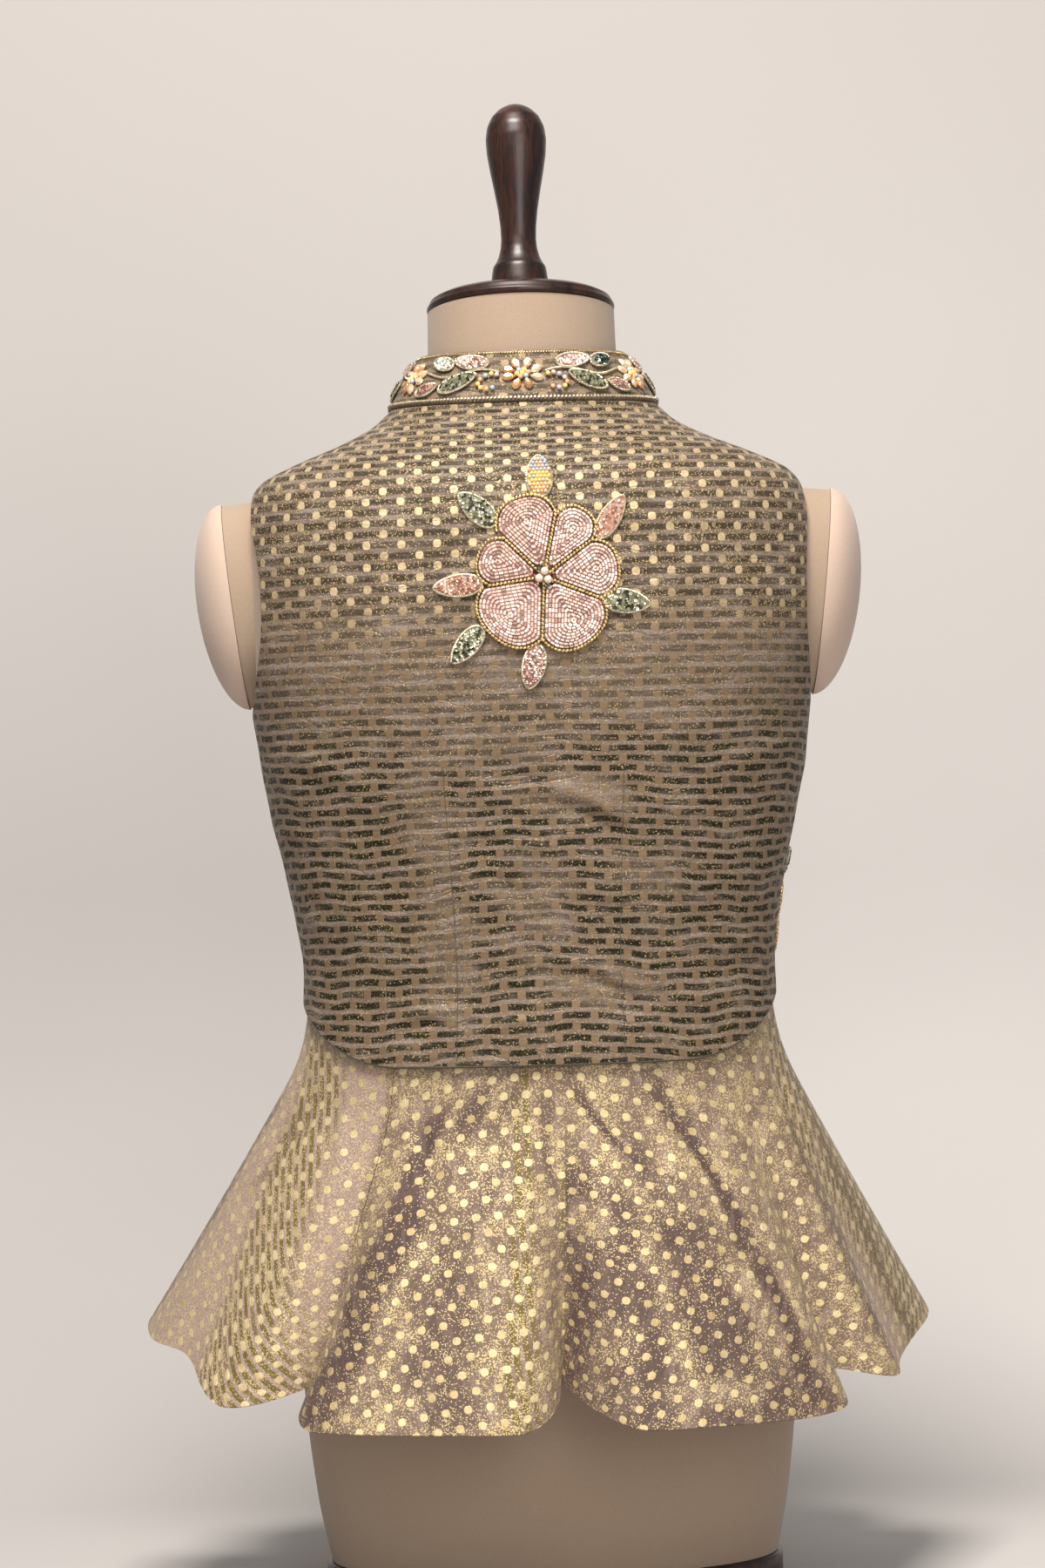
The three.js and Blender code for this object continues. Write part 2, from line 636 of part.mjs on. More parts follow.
// A petal fills its sector of the flower, from the middle out to a rounded edge, clear of the chain all round
function petalOutline({ angle, half, reach }) {
  const inset = CHAIN_WIDTH / 2;
  const edgeTurn = (r) => half - degrees(Math.asin(inset / r));
  const outer = (share) => (reach - inset) * (1 - 0.2 * Math.abs(share) ** 3);
  const side = [0.2, 0.5].map((share) => share * reach);
  const rim = range(6, (t) => 1 - 2 * t);
  return [
    ...side.map((r) => pointAt(angle + edgeTurn(r), r)),
    ...rim.map((share) => pointAt(angle + share * edgeTurn(outer(1)), outer(share))),
    ...side.reverse().map((r) => pointAt(angle - edgeTurn(r), r)),
  ];
}

// A leaf is pointed at its tip and rounder at its root
function leafOutline({ x, z, angle, long, wide }, sides = 10) {
  return range(sides, (t) => {
    const along = (-Math.cos(2 * Math.PI * t) / 2) * long;
    const taper = Math.abs(Math.cos(Math.PI * t)) ** 0.35;
    const across = (Math.sin(2 * Math.PI * t) * taper * wide) / 2;
    const ahead = pointAt(angle, along);
    const beside = pointAt(angle + 90, across);
    return { x: x + ahead.x + beside.x, z: z + ahead.z + beside.z };
  }).slice(0, sides);
}

function discOutline(radius, wave = 0, petals = 8, sides = 8) {
  return range(sides, (t) => {
    const r = radius * (1 - wave + wave * Math.cos(2 * Math.PI * petals * t));
    return pointAt(-360 * t, r);
  }).slice(0, sides);
}

// A low crowned piece on a surface, inside an outline. place(x, z, out) gives a point of that surface, moved out
function raisedPiece(place, outline, thick) {
  const sum = outline.reduce((a, p) => ({ x: a.x + p.x, z: a.z + p.z }), { x: 0, z: 0 });
  const middle = { x: sum.x / outline.length, z: sum.z / outline.length };
  const ring = (share, out) =>
    outline.map((p) => place(mix(middle.x, p.x, share), mix(middle.z, p.z, share), out)).reverse();
  const spread = Math.max(...outline.map((p) => Math.hypot(p.x - middle.x, p.z - middle.z)));
  const under = spread > 10 ? [ring(0.5, SEAM_GAP)] : []; // keeps a long piece's back on the curve of the cloth
  const rings = [
    ...under,
    ring(1, SEAM_GAP),
    ring(1, SEAM_GAP + thick * 0.4),
    ring(0.66, SEAM_GAP + thick * 0.85),
  ];
  return loftGeometry(rings, [
    place(middle.x, middle.z, SEAM_GAP),
    place(middle.x, middle.z, SEAM_GAP + thick),
  ]);
}

// The flower: each petal's direction from +X in degrees, half its sector, and its reach from the middle
const PETALS = [
  { angle: 7, half: 29, reach: 45 },
  { angle: 57, half: 21, reach: 46 },
  { angle: 106.5, half: 28.5, reach: 49 },
  { angle: 161.5, half: 26.5, reach: 41 },
  { angle: 227.5, half: 39.5, reach: 46.5 },
  { angle: 302.5, half: 35.5, reach: 47 },
];
// Leaves round it: the middle of each, its direction, length and width
const LEAVES = [
  { name: "pastel", x: -1.2, z: 59, angle: 91, long: 24, wide: 17, material: pastelBeads },
  { name: "peach_a", x: 40.5, z: 34.2, angle: 56, long: 29, wide: 13, material: peachSequin },
  { name: "green_a", x: 48.2, z: -15.8, angle: 352, long: 28, wide: 15, material: greenSequin },
  { name: "peach_b", x: -7.7, z: -53, angle: 256, long: 26, wide: 15, material: peachSequin },
  { name: "green_b", x: -46.6, z: -39, angle: 228, long: 27, wide: 14, material: greenSequin },
  { name: "peach_c", x: -51.2, z: -4, angle: 184, long: 29, wide: 14, material: peachSequin },
  { name: "green_c", x: -38.4, z: 40.6, angle: 139, long: 28, wide: 15, material: greenSequin },
];
const BACK_MOTIF = { x: 9.4, z: 616.6 };
const CENTRE_RADIUS = 4.2;
const CENTRE_THICK = 4;

// The bodice's outer face near the back motif, with x and z as the flat cloth's own distances
function onBodice(motif) {
  const turnAt = (x, z) => {
    let turn = x / 1.75; // close enough to start from
    for (let k = 0; k < 12; k++) turn += (x - bodyPoint(turn, z, BODICE_EASE).x) / 2.4;
    return turn;
  };
  return (x, z, out) => {
    const height = motif.z + z;
    return bodyPoint(turnAt(motif.x + x, height), height, bodiceEase(height) + CLOTH + out);
  };
}

// A second motif sits on the wearer's right front at the waist, so its edge shows past the side
const SIDE_MOTIF = { turn: 112, z: 412, scale: 0.78 };
const SIDE_CLEAR = 0.2; // more room there, where the cloth turns tightly
const SIDE_LEAVES = ["green_c", "peach_a", "green_a"];

function onSide(motif) {
  const perDegree = 2.15; // millimetres round the body for each degree of turn there
  return (x, z, out) => {
    const height = motif.z + z * motif.scale;
    const rise = bodiceEase(height) + CLOTH + SIDE_CLEAR;
    return bodyPoint(motif.turn + (x * motif.scale) / perDegree, height, rise + out);
  };
}

function addMotif(name, place, leaves) {
  PETALS.forEach((petal, k) => {
    const geometry = raisedPiece(place, petalOutline(petal), PETAL_THICK);
    addNode(root, name + "_petal_" + (k + 1), geometry, pinkGlass);
  });
  leaves.forEach((leaf) => {
    const geometry = raisedPiece(place, leafOutline(leaf), LEAF_THICK);
    addNode(root, name + "_leaf_" + leaf.name, geometry, leaf.material);
  });
  addNode(root, name + "_centre", raisedPiece(place, discOutline(CENTRE_RADIUS), CENTRE_THICK), pearl);
}

// Collar beadwork: flowers and, between each two, a sprig of leaves. Both sides mirror each other
const COLLAR_FLOWERS = [0, 62, 118]; // degrees from the centre back
const COLLAR_REACH = 1.16; // millimetres round the collar for each degree of turn
const COLLAR_SLANT = 37; // the band's height along its own face
const COLLAR_CLEAR = 0.6; // clear of the band's own bow
const FLOWER = { radius: 12.5, wave: 0.2, petals: 8, sides: 16, thick: 2.4 };
const SPRIG = [
  { name: "upper_peach", at: 0.42, up: 0.77, angle: 170, long: 22, wide: 11, material: peachSequin },
  { name: "lower_green", at: 0.49, up: 0.36, angle: 31, long: 23, wide: 12, material: greenSequin },
  { name: "upper_green", at: 0.69, up: 0.77, angle: 162, long: 17, wide: 10, material: greenSequin },
  { name: "lower_peach", at: 0.76, up: 0.25, angle: 24, long: 15, wide: 9, material: peachSequin },
];

const onCollar = (turn, up) => (x, z, out) =>
  collarPoint(turn + x / COLLAR_REACH, up + z / COLLAR_SLANT, out + COLLAR_CLEAR);

function addCollarFlower(name, turn) {
  const outline = discOutline(FLOWER.radius, FLOWER.wave, FLOWER.petals, FLOWER.sides);
  addNode(root, name, raisedPiece(onCollar(turn, 0.5), outline, FLOWER.thick), amberCrystal);
}

function addCollarBeadwork() {
  addCollarFlower("collar_flower_back", 0);
  for (const [side, word] of [[-1, "left"], [1, "right"]]) {
    COLLAR_FLOWERS.slice(1).forEach((turn, k) => {
      const place = word + "_" + (k + 1);
      addCollarFlower("collar_flower_" + place, side * turn);
      for (const leaf of SPRIG) {
        const angle = side > 0 ? 180 - leaf.angle : leaf.angle;
        const outline = leafOutline({ ...leaf, x: 0, z: 0, angle }, 8);
        const spot = onCollar(side * mix(COLLAR_FLOWERS[k], turn, leaf.at), leaf.up);
        const geometry = raisedPiece(spot, outline, LEAF_THICK);
        addNode(root, "collar_leaf_" + place + "_" + leaf.name, geometry, leaf.material);
      }
    });
  }
}

addForm();
addBodice();
addPeplum();
addMotif("back_motif", onBodice(BACK_MOTIF), LEAVES);
addMotif("side_motif", onSide(SIDE_MOTIF), LEAVES.filter((leaf) => SIDE_LEAVES.includes(leaf.name)));
addCollarBeadwork();

export default root;
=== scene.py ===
"""Looks of a brocade peplum top on a limbless dress form: cloth, beadwork, wood, light and camera.

Shapes are worked out in millimetres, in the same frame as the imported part, and turned into metres in
mesh_object. A turn is an angle round the body in degrees, from the centre back towards +X. The garment's
back faces -Y.
"""

import math

import bpy
import numpy as np
from mathutils import Matrix, Vector


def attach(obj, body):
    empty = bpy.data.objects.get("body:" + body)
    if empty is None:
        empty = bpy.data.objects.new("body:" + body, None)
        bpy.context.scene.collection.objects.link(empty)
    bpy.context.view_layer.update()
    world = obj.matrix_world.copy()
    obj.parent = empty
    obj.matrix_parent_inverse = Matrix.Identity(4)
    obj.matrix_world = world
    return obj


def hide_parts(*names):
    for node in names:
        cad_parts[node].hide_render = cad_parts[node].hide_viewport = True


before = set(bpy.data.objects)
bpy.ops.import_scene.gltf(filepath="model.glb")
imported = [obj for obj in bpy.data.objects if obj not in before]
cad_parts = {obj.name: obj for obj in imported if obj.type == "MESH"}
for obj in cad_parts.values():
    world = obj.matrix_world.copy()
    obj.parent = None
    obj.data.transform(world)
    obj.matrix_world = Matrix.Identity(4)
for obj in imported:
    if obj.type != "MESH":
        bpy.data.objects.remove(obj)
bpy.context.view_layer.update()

MM = 0.001
BODY = "root"
rng = np.random.default_rng(7)

# Sizes shared with the part's source, in millimetres
BASE_THICK = 18
SEAM_GAP = 0.3
CLOTH = 1.6
FLOUNCE = 1.4
BODICE_EASE = 2.6
HEM_EASE = 2.4
WAIST_HEIGHT = 363
HEM_DROP = 37
NAPE_HEIGHT = 722
NECK_SIDE_HEIGHT = 724
NECK_FRONT_HEIGHT = 690
UNDERARM_HEIGHT = 537
SHOULDER_TIP_HEIGHT = 682
ARMHOLE_TURN = 26
LEFT_BACK_CUT = 1.22
CHEST_HEIGHT = 600
COLLAR_HEIGHT = 36
COLLAR_WALL = 1.6
COLLAR_TOP_EASE = 3.4
PEPLUM_LENGTH = 230
PEPLUM_TUCK = 8
PEPLUM_EASE = 0.9
FLARE_RUN = 62
FLARE_START = 6
FOLD_START = 20
NECK_TILT = 7
NECK_TOP = 787
NECK_LEAN_FROM = 738
FRONT_OPENING = 0.5
SEAM_LEFT = -37
SEAM_RIGHT = 53

# The form's level sections: height, half width, depth behind and in front, roundness and forward shift
SECTIONS = np.array(
    [
        (18, 138, 84, 84, 2.2, 0),
        (60, 146, 93, 88, 2.2, 0),
        (120, 152, 100, 92, 2.2, 0),
        (175, 154, 102, 94, 2.2, 0),
        (240, 151, 99, 95, 2.2, 0),
        (300, 144.5, 94, 94.5, 2.2, 0),
        (340, 141.5, 91.5, 94, 2.2, 0),
        (363, 141, 91, 94, 2.2, 0),
        (400, 143.5, 92, 98, 2.25, 0),
        (450, 152.5, 96, 112, 2.3, 0),
        (495, 162, 101, 127, 2.4, 0),
        (537, 168, 105, 131, 2.5, 0),
        (580, 173, 107, 122, 2.6, 0),
        (615, 175, 106, 109, 2.6, 0),
        (650, 173, 103, 95, 2.6, 0),
        (670, 168, 99, 86, 2.5, 0),
        (680, 161, 95, 80, 2.4, 0),
        (690, 142, 90, 72, 2.3, 0),
        (702, 113, 83, 66, 2.2, 1),
        (713, 92, 74, 62, 2.1, 2),
        (724, 80, 65, 59, 2, 4),
        (736, 67, 59, 57, 2, 6),
        (750, 59, 56, 56, 2, 8),
        (790, 58, 56, 56, 2, 13),
    ],
    dtype=[(k, float) for k in ("z", "half", "back", "front", "power", "shift")],
)

# Folds of the peplum: turn and half width in degrees, then millimetres at the hem
FOLDS = np.array(
    [
        (-150, 11, 34, 12, 5, 0),
        (-108, 12, 38, 14, 5, 0),
        (-62, 15, 9, 3, 0, 0),
        (-37, 9.5, 38, 21, 8, 9),
        (4.5, 9.5, 44, 24, 8, -9),
        (53, 10, 42, 10, 5, 3),
        (116, 10, 34, 12, 4, 0),
        (142, 11, 36, 12, 5, 0),
    ],
    dtype=[(k, float) for k in ("turn", "width", "depth", "lift", "close", "lean")],
)

# Round the body: the peplum's steepest slope, the degrees it drifts round by its hem, and its hem's rise
FLARE = np.array(
    [
        (-180, 28, 0, 6),
        (-105, 30, -1, 10),
        (-80, 30.5, -1, 8),
        (-58, 30, -4, 14),
        (-48, 29.5, -6, 8),
        (-37, 29, -7, 0),
        (0, 29, 0, 0),
        (53, 28.5, 0, 0),
        (74, 22, 0, 0),
        (112, 30.5, 0, 0),
        (180, 28, 0, 6),
    ],
    dtype=[(k, float) for k in ("turn", "slope", "drift", "lift")],
)

# Numbers and curves


def smooth(t):
    t = np.clip(t, 0, 1)
    return t * t * (3 - 2 * t)


def mix(a, b, t):
    return a + (b - a) * t


def bump(t):
    """1 at t = 0, falling to 0 at t = -1 and t = 1."""
    return np.where(np.abs(t) < 1, (1 + np.cos(np.pi * np.clip(t, -1, 1))) / 2, 0)


def curve_through(table, at, column):
    """A smooth curve through one column of a table, with no overshoot."""
    x, y = table[at], table[column]
    rise = np.diff(y) / np.diff(x)
    before = np.concatenate([rise[:1], rise])
    after = np.concatenate([rise, rise[-1:]])
    product = before * after
    total = np.where(np.abs(before + after) < 1e-9, 1, before + after)
    slope = np.where(product > 0, 2 * product / total, 0)

    def value(v):
        v = np.clip(np.asarray(v, float), x[0], x[-1])
        k = np.clip(np.searchsorted(x, v, side="right") - 1, 0, len(x) - 2)
        run = x[k + 1] - x[k]
        t = (v - x[k]) / run
        return (
            y[k] * (1 + 2 * t) * (1 - t) ** 2
            + slope[k] * run * t * (1 - t) ** 2
            + y[k + 1] * t * t * (3 - 2 * t)
            + slope[k + 1] * run * t * t * (t - 1)
        )

    return value


body_half, body_back, body_front, body_power, body_shift = (
    curve_through(SECTIONS, "z", k) for k in ("half", "back", "front", "power", "shift")
)
flare_slope, flare_drift, flare_lift = (curve_through(FLARE, "turn", k) for k in ("slope", "drift", "lift"))


def stack(*columns):
    return np.stack(np.broadcast_arrays(*columns), axis=-1).astype(float)


def unit(v):
    return v / np.maximum(np.linalg.norm(v, axis=-1, keepdims=True), 1e-12)


def polar(angle, r):
    """x and y of points at angles in degrees."""
    return r * np.cos(np.radians(angle)), r * np.sin(np.radians(angle))


def full_turn(count):
    """Even angles round a circle, in radians."""
    return np.arange(count) * 2 * np.pi / count


def reach_along(points):
    """How far along a path each of its points lies."""
    steps = np.linalg.norm(np.diff(points, axis=0), axis=-1)
    return np.concatenate([[0], np.cumsum(steps)])


def body_surface(turn, z):
    """A point of the form's surface."""
    power = body_power(z)
    across = np.sin(np.radians(turn))
    behind = np.cos(np.radians(turn))
    reach = (np.abs(across) ** power + np.abs(behind) ** power) ** (-1 / power)
    depth = np.where(behind > 0, body_back(z), body_front(z))
    return stack(body_half(z) * across * reach, body_shift(z) - depth * behind * reach, z)


def body_point(turn, z, out):
    """The same point moved out along the surface's normal."""
    step = 0.4
    turn, z, out = np.broadcast_arrays(turn, z, out)
    around = body_surface(turn + step, z) - body_surface(turn - step, z)
    up = body_surface(turn, z + step) - body_surface(turn, z - step)
    return body_surface(turn, z) + unit(np.cross(around, up)) * out[..., None]


# Meshes


def link_object(name, data):
    obj = bpy.data.objects.new(name, data)
    bpy.context.scene.collection.objects.link(obj)
    return obj


def mesh_object(name, points, faces, materials, cloth=None, tone=None, sharp=50, face_material=None):
    """One object from points in millimetres. cloth is each point's place in the flat cloth, tone its colour."""
    # For cloth panels the tone carries painted light, the bands' strength and painted shade, not a colour
    mesh = bpy.data.meshes.new(name)
    mesh.from_pydata((np.asarray(points) * MM).tolist(), [], faces)
    for material in materials:
        mesh.materials.append(material)
    if face_material is not None:
        mesh.polygons.foreach_set("material_index", face_material)
    if cloth is not None:
        layer = mesh.attributes.new("cloth", "FLOAT_VECTOR", "POINT")
        layer.data.foreach_set("vector", np.asarray(cloth, float).ravel())
    if tone is not None:
        layer = mesh.attributes.new("tone", "FLOAT_COLOR", "POINT")
        layer.data.foreach_set("color", np.asarray(tone, float).ravel())
    mesh.update()
    mesh.shade_smooth()
    mesh.set_sharp_from_angle(angle=math.radians(sharp))
    obj = link_object(name, mesh)
    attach(obj, BODY)
    return obj


def grid_faces(rows, columns, start=0, flip=False, closed=False):
    """Quads of a grid of points, row by row. closed joins the last column to the first."""
    last = columns if closed else columns - 1
    j, i = np.meshgrid(np.arange(rows - 1), np.arange(last), indexing="ij")
    a = start + j * columns + i
    b = start + j * columns + (i + 1) % columns
    quads = np.stack([a, b, b + columns, a + columns], axis=-1).reshape(-1, 4)
    return (quads[:, ::-1] if flip else quads).tolist()


def wall_faces(rows, columns):
    """Faces of a closed wall whose outer grid is followed by its inner grid, and which of them are inner."""
    inner = rows * columns
    outer_faces = grid_faces(rows, columns)
    inner_faces = grid_faces(rows, columns, inner, flip=True)
    rim = []
    for j in range(rows - 1):
        left = j * columns
        right = left + columns - 1
        rim.append([left, left + columns, left + columns + inner, left + inner])
        rim.append([right, right + inner, right + columns + inner, right + columns])
    for i in range(columns - 1):
        top = (rows - 1) * columns + i
        rim.append([i, i + inner, i + 1 + inner, i + 1])
        rim.append([top, top + 1, top + 1 + inner, top + inner])
    kinds = [0] * len(outer_faces) + [1] * len(inner_faces) + [0] * len(rim)
    return outer_faces + inner_faces + rim, kinds


def area_of(points):
    """The area of a grid of points, in square metres."""
    a = points[1:, 1:] - points[:-1, :-1]
    b = points[1:, :-1] - points[:-1, 1:]
    return float(np.linalg.norm(np.cross(a, b), axis=-1).sum() / 2 * MM * MM)


def cloth_panel(node, wall, cloth, weave, cut=None):
    """A panel from wall(out), which gives its grid of points moved out, and its place in the flat cloth.

    cut is the width and length of the rectangle that its flat cut needs, in millimetres.
    """
    outer, inner = wall(1), wall(0)
    rows, columns = outer.shape[:2]
    faces, kinds = wall_faces(rows, columns)
    points = np.concatenate([outer.reshape(-1, 3), inner.reshape(-1, 3)])
    flat = np.concatenate([cloth.reshape(-1, 6)] * 2)
    # The tone attribute carries the light and shade painted on the cloth: painted light, the bands' strength
    # and painted shade
    tone = np.concatenate([flat[:, 3:], np.ones((len(flat), 1))], axis=1)
    place = flat[:, :3]
    obj = mesh_object(node + "_cloth", points, faces, [weave, LINING], place, tone, face_material=kinds)
    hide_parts(node)
    width, length = cut or (np.ptp(cloth[..., 0]) + 1, np.ptp(cloth[..., 1]) + 1)
    width * MM
    length * MM
    area_of(outer)


def loft(rings, ends):
    """Points and faces of a closed solid through rings, with a middle point at each end."""
    rings = np.asarray(rings, float)
    rows, columns = rings.shape[:2]
    points = np.concatenate([rings.reshape(-1, 3), np.asarray(ends, float)])
    faces = grid_faces(rows, columns, closed=True)
    low, high = len(points) - 2, len(points) - 1
    last = (rows - 1) * columns
    for i in range(columns):
        after = (i + 1) % columns
        faces.append([low, after, i])
        faces.append([high, last + i, last + after])
    return points, faces


# Materials


class Value:
    """A number in a shader: plus, minus, times and the like become math nodes."""

    def __init__(self, shader, socket):
        self.shader = shader
        self.socket = socket

    def __add__(self, other):
        return self.shader.math("ADD", self, other)

    def __sub__(self, other):
        return self.shader.math("SUBTRACT", self, other)

    def __rsub__(self, other):
        return self.shader.math("SUBTRACT", other, self)

    def __mul__(self, other):
        return self.shader.math("MULTIPLY", self, other)

    def __truediv__(self, other):
        return self.shader.math("DIVIDE", self, other)

    def __pow__(self, other):
        return self.shader.math("POWER", self, other)

    def __abs__(self):
        return self.shader.math("ABSOLUTE", self)


class Shader:
    """A material's node tree, with short ways to add nodes and join them."""

    def __init__(self, name):
        self.material = bpy.data.materials.new(name)
        self.material.use_nodes = True
        self.tree = self.material.node_tree
        self.bsdf = self.tree.nodes["Principled BSDF"]

    def node(self, kind, inputs, **settings):
        node = self.tree.nodes.new(kind)
        for key, value in settings.items():
            setattr(node, key, value)
        for key, value in inputs.items():
            self.plug(value, node.inputs[key])
        return node

    def plug(self, value, socket):
        if isinstance(value, Value):
            value = value.socket
        if isinstance(value, bpy.types.NodeSocket):
            self.tree.links.new(value, socket)
        elif hasattr(socket.default_value, "__len__") and len(socket.default_value) == 4:
            socket.default_value = (*value, 1)
        else:
            socket.default_value = value

    def math(self, operation, a, b=0.0):
        return Value(self, self.node("ShaderNodeMath", {0: a, 1: b}, operation=operation).outputs[0])

    def most(self, a, b):
        return self.math("MAXIMUM", a, b)

    def above(self, a, b):
        """1 where a is more than b, and 0 elsewhere."""
        return self.math("GREATER_THAN", a, b)

    def ramp(self, value, low, high, to_low=0.0, to_high=1.0):
        """value from low to high, smoothly, to the other range."""
        inputs = {"Value": value, "From Min": low, "From Max": high, "To Min": to_low, "To Max": to_high}
        node = self.node("ShaderNodeMapRange", inputs, interpolation_type="SMOOTHSTEP")
        return Value(self, node.outputs["Result"])

    def blend(self, share, a, b, kind="MIX"):
        inputs = {0: share, 6: a, 7: b}
        return self.node("ShaderNodeMix", inputs, data_type="RGBA", blend_type=kind).outputs[2]

    def shaded(self, color, grey):
        """A colour times a grey."""
        return self.blend(1.0, color, self.together(grey, grey, grey), "MULTIPLY")

    def together(self, x, y, z=0.0):
        return self.node("ShaderNodeCombineXYZ", {0: x, 1: y, 2: z}).outputs[0]

    def split(self, vector):
        node = self.node("ShaderNodeSeparateXYZ", {0: vector})
        return [Value(self, output) for output in node.outputs]

    def stretched(self, vector, scale):
        return self.node("ShaderNodeVectorMath", {0: vector, 1: scale}, operation="MULTIPLY").outputs[0]

    def noise(self, vector, scale, detail=2.0, roughness=0.5):
        """Soft noise. scale is one number, or one number for each axis."""
        if isinstance(scale, tuple):
            vector, scale = self.stretched(vector, scale), 1.0
        inputs = {"Vector": vector, "Scale": scale, "Detail": detail, "Roughness": roughness}
        return Value(self, self.node("ShaderNodeTexNoise", inputs).outputs[0])

    def cells(self, vector, scale):
        """A number from 0 to 1 for each cell of a grid, where scale is the cells in a millimetre."""
        corner = self.node("ShaderNodeVectorMath", {0: self.stretched(vector, scale)}, operation="FLOOR")
        cell = self.node("ShaderNodeTexWhiteNoise", {"Vector": corner.outputs[0]})
        return Value(self, cell.outputs["Value"])

    def wave(self, vector, scale, distortion, detail, direction):
        inputs = {"Vector": vector, "Scale": scale, "Distortion": distortion, "Detail": detail}
        node = self.node("ShaderNodeTexWave", inputs, wave_type="BANDS", bands_direction=direction)
        return Value(self, node.outputs[1])

    def attribute(self, name, output="Vector"):
        return self.node("ShaderNodeAttribute", {}, attribute_name=name).outputs[output]

    def place(self):
        """The point in the object's own frame, in millimetres."""
        return self.stretched(self.node("ShaderNodeTexCoord", {}).outputs["Object"], (1 / MM,) * 3)

    def bump_from(self, height, distance, strength=1.0):
        inputs = {"Height": height, "Distance": distance, "Strength": strength}
        return self.node("ShaderNodeBump", inputs).outputs[0]

    def set(self, **values):
        names = {
            "color": "Base Color",
            "rough": "Roughness",
            "metal": "Metallic",
            "normal": "Normal",
            "sheen": "Sheen Weight",
            "sheen_rough": "Sheen Roughness",
            "coat": "Coat Weight",
            "coat_rough": "Coat Roughness",
            "specular": "Specular IOR Level",
        }
        for key, value in values.items():
            self.plug(value, self.bsdf.inputs[names[key]])
        return self.material


# The brocade's repeat, in millimetres
DOT_ROW = 6.6
DOT_COLUMN = 21.4
DOT_HALF = 2.5
DOT_POWER = 2.4
BAND_HALF = 1.9
BAND_SOFT = 0.35
GAP_SOFT = 0.8


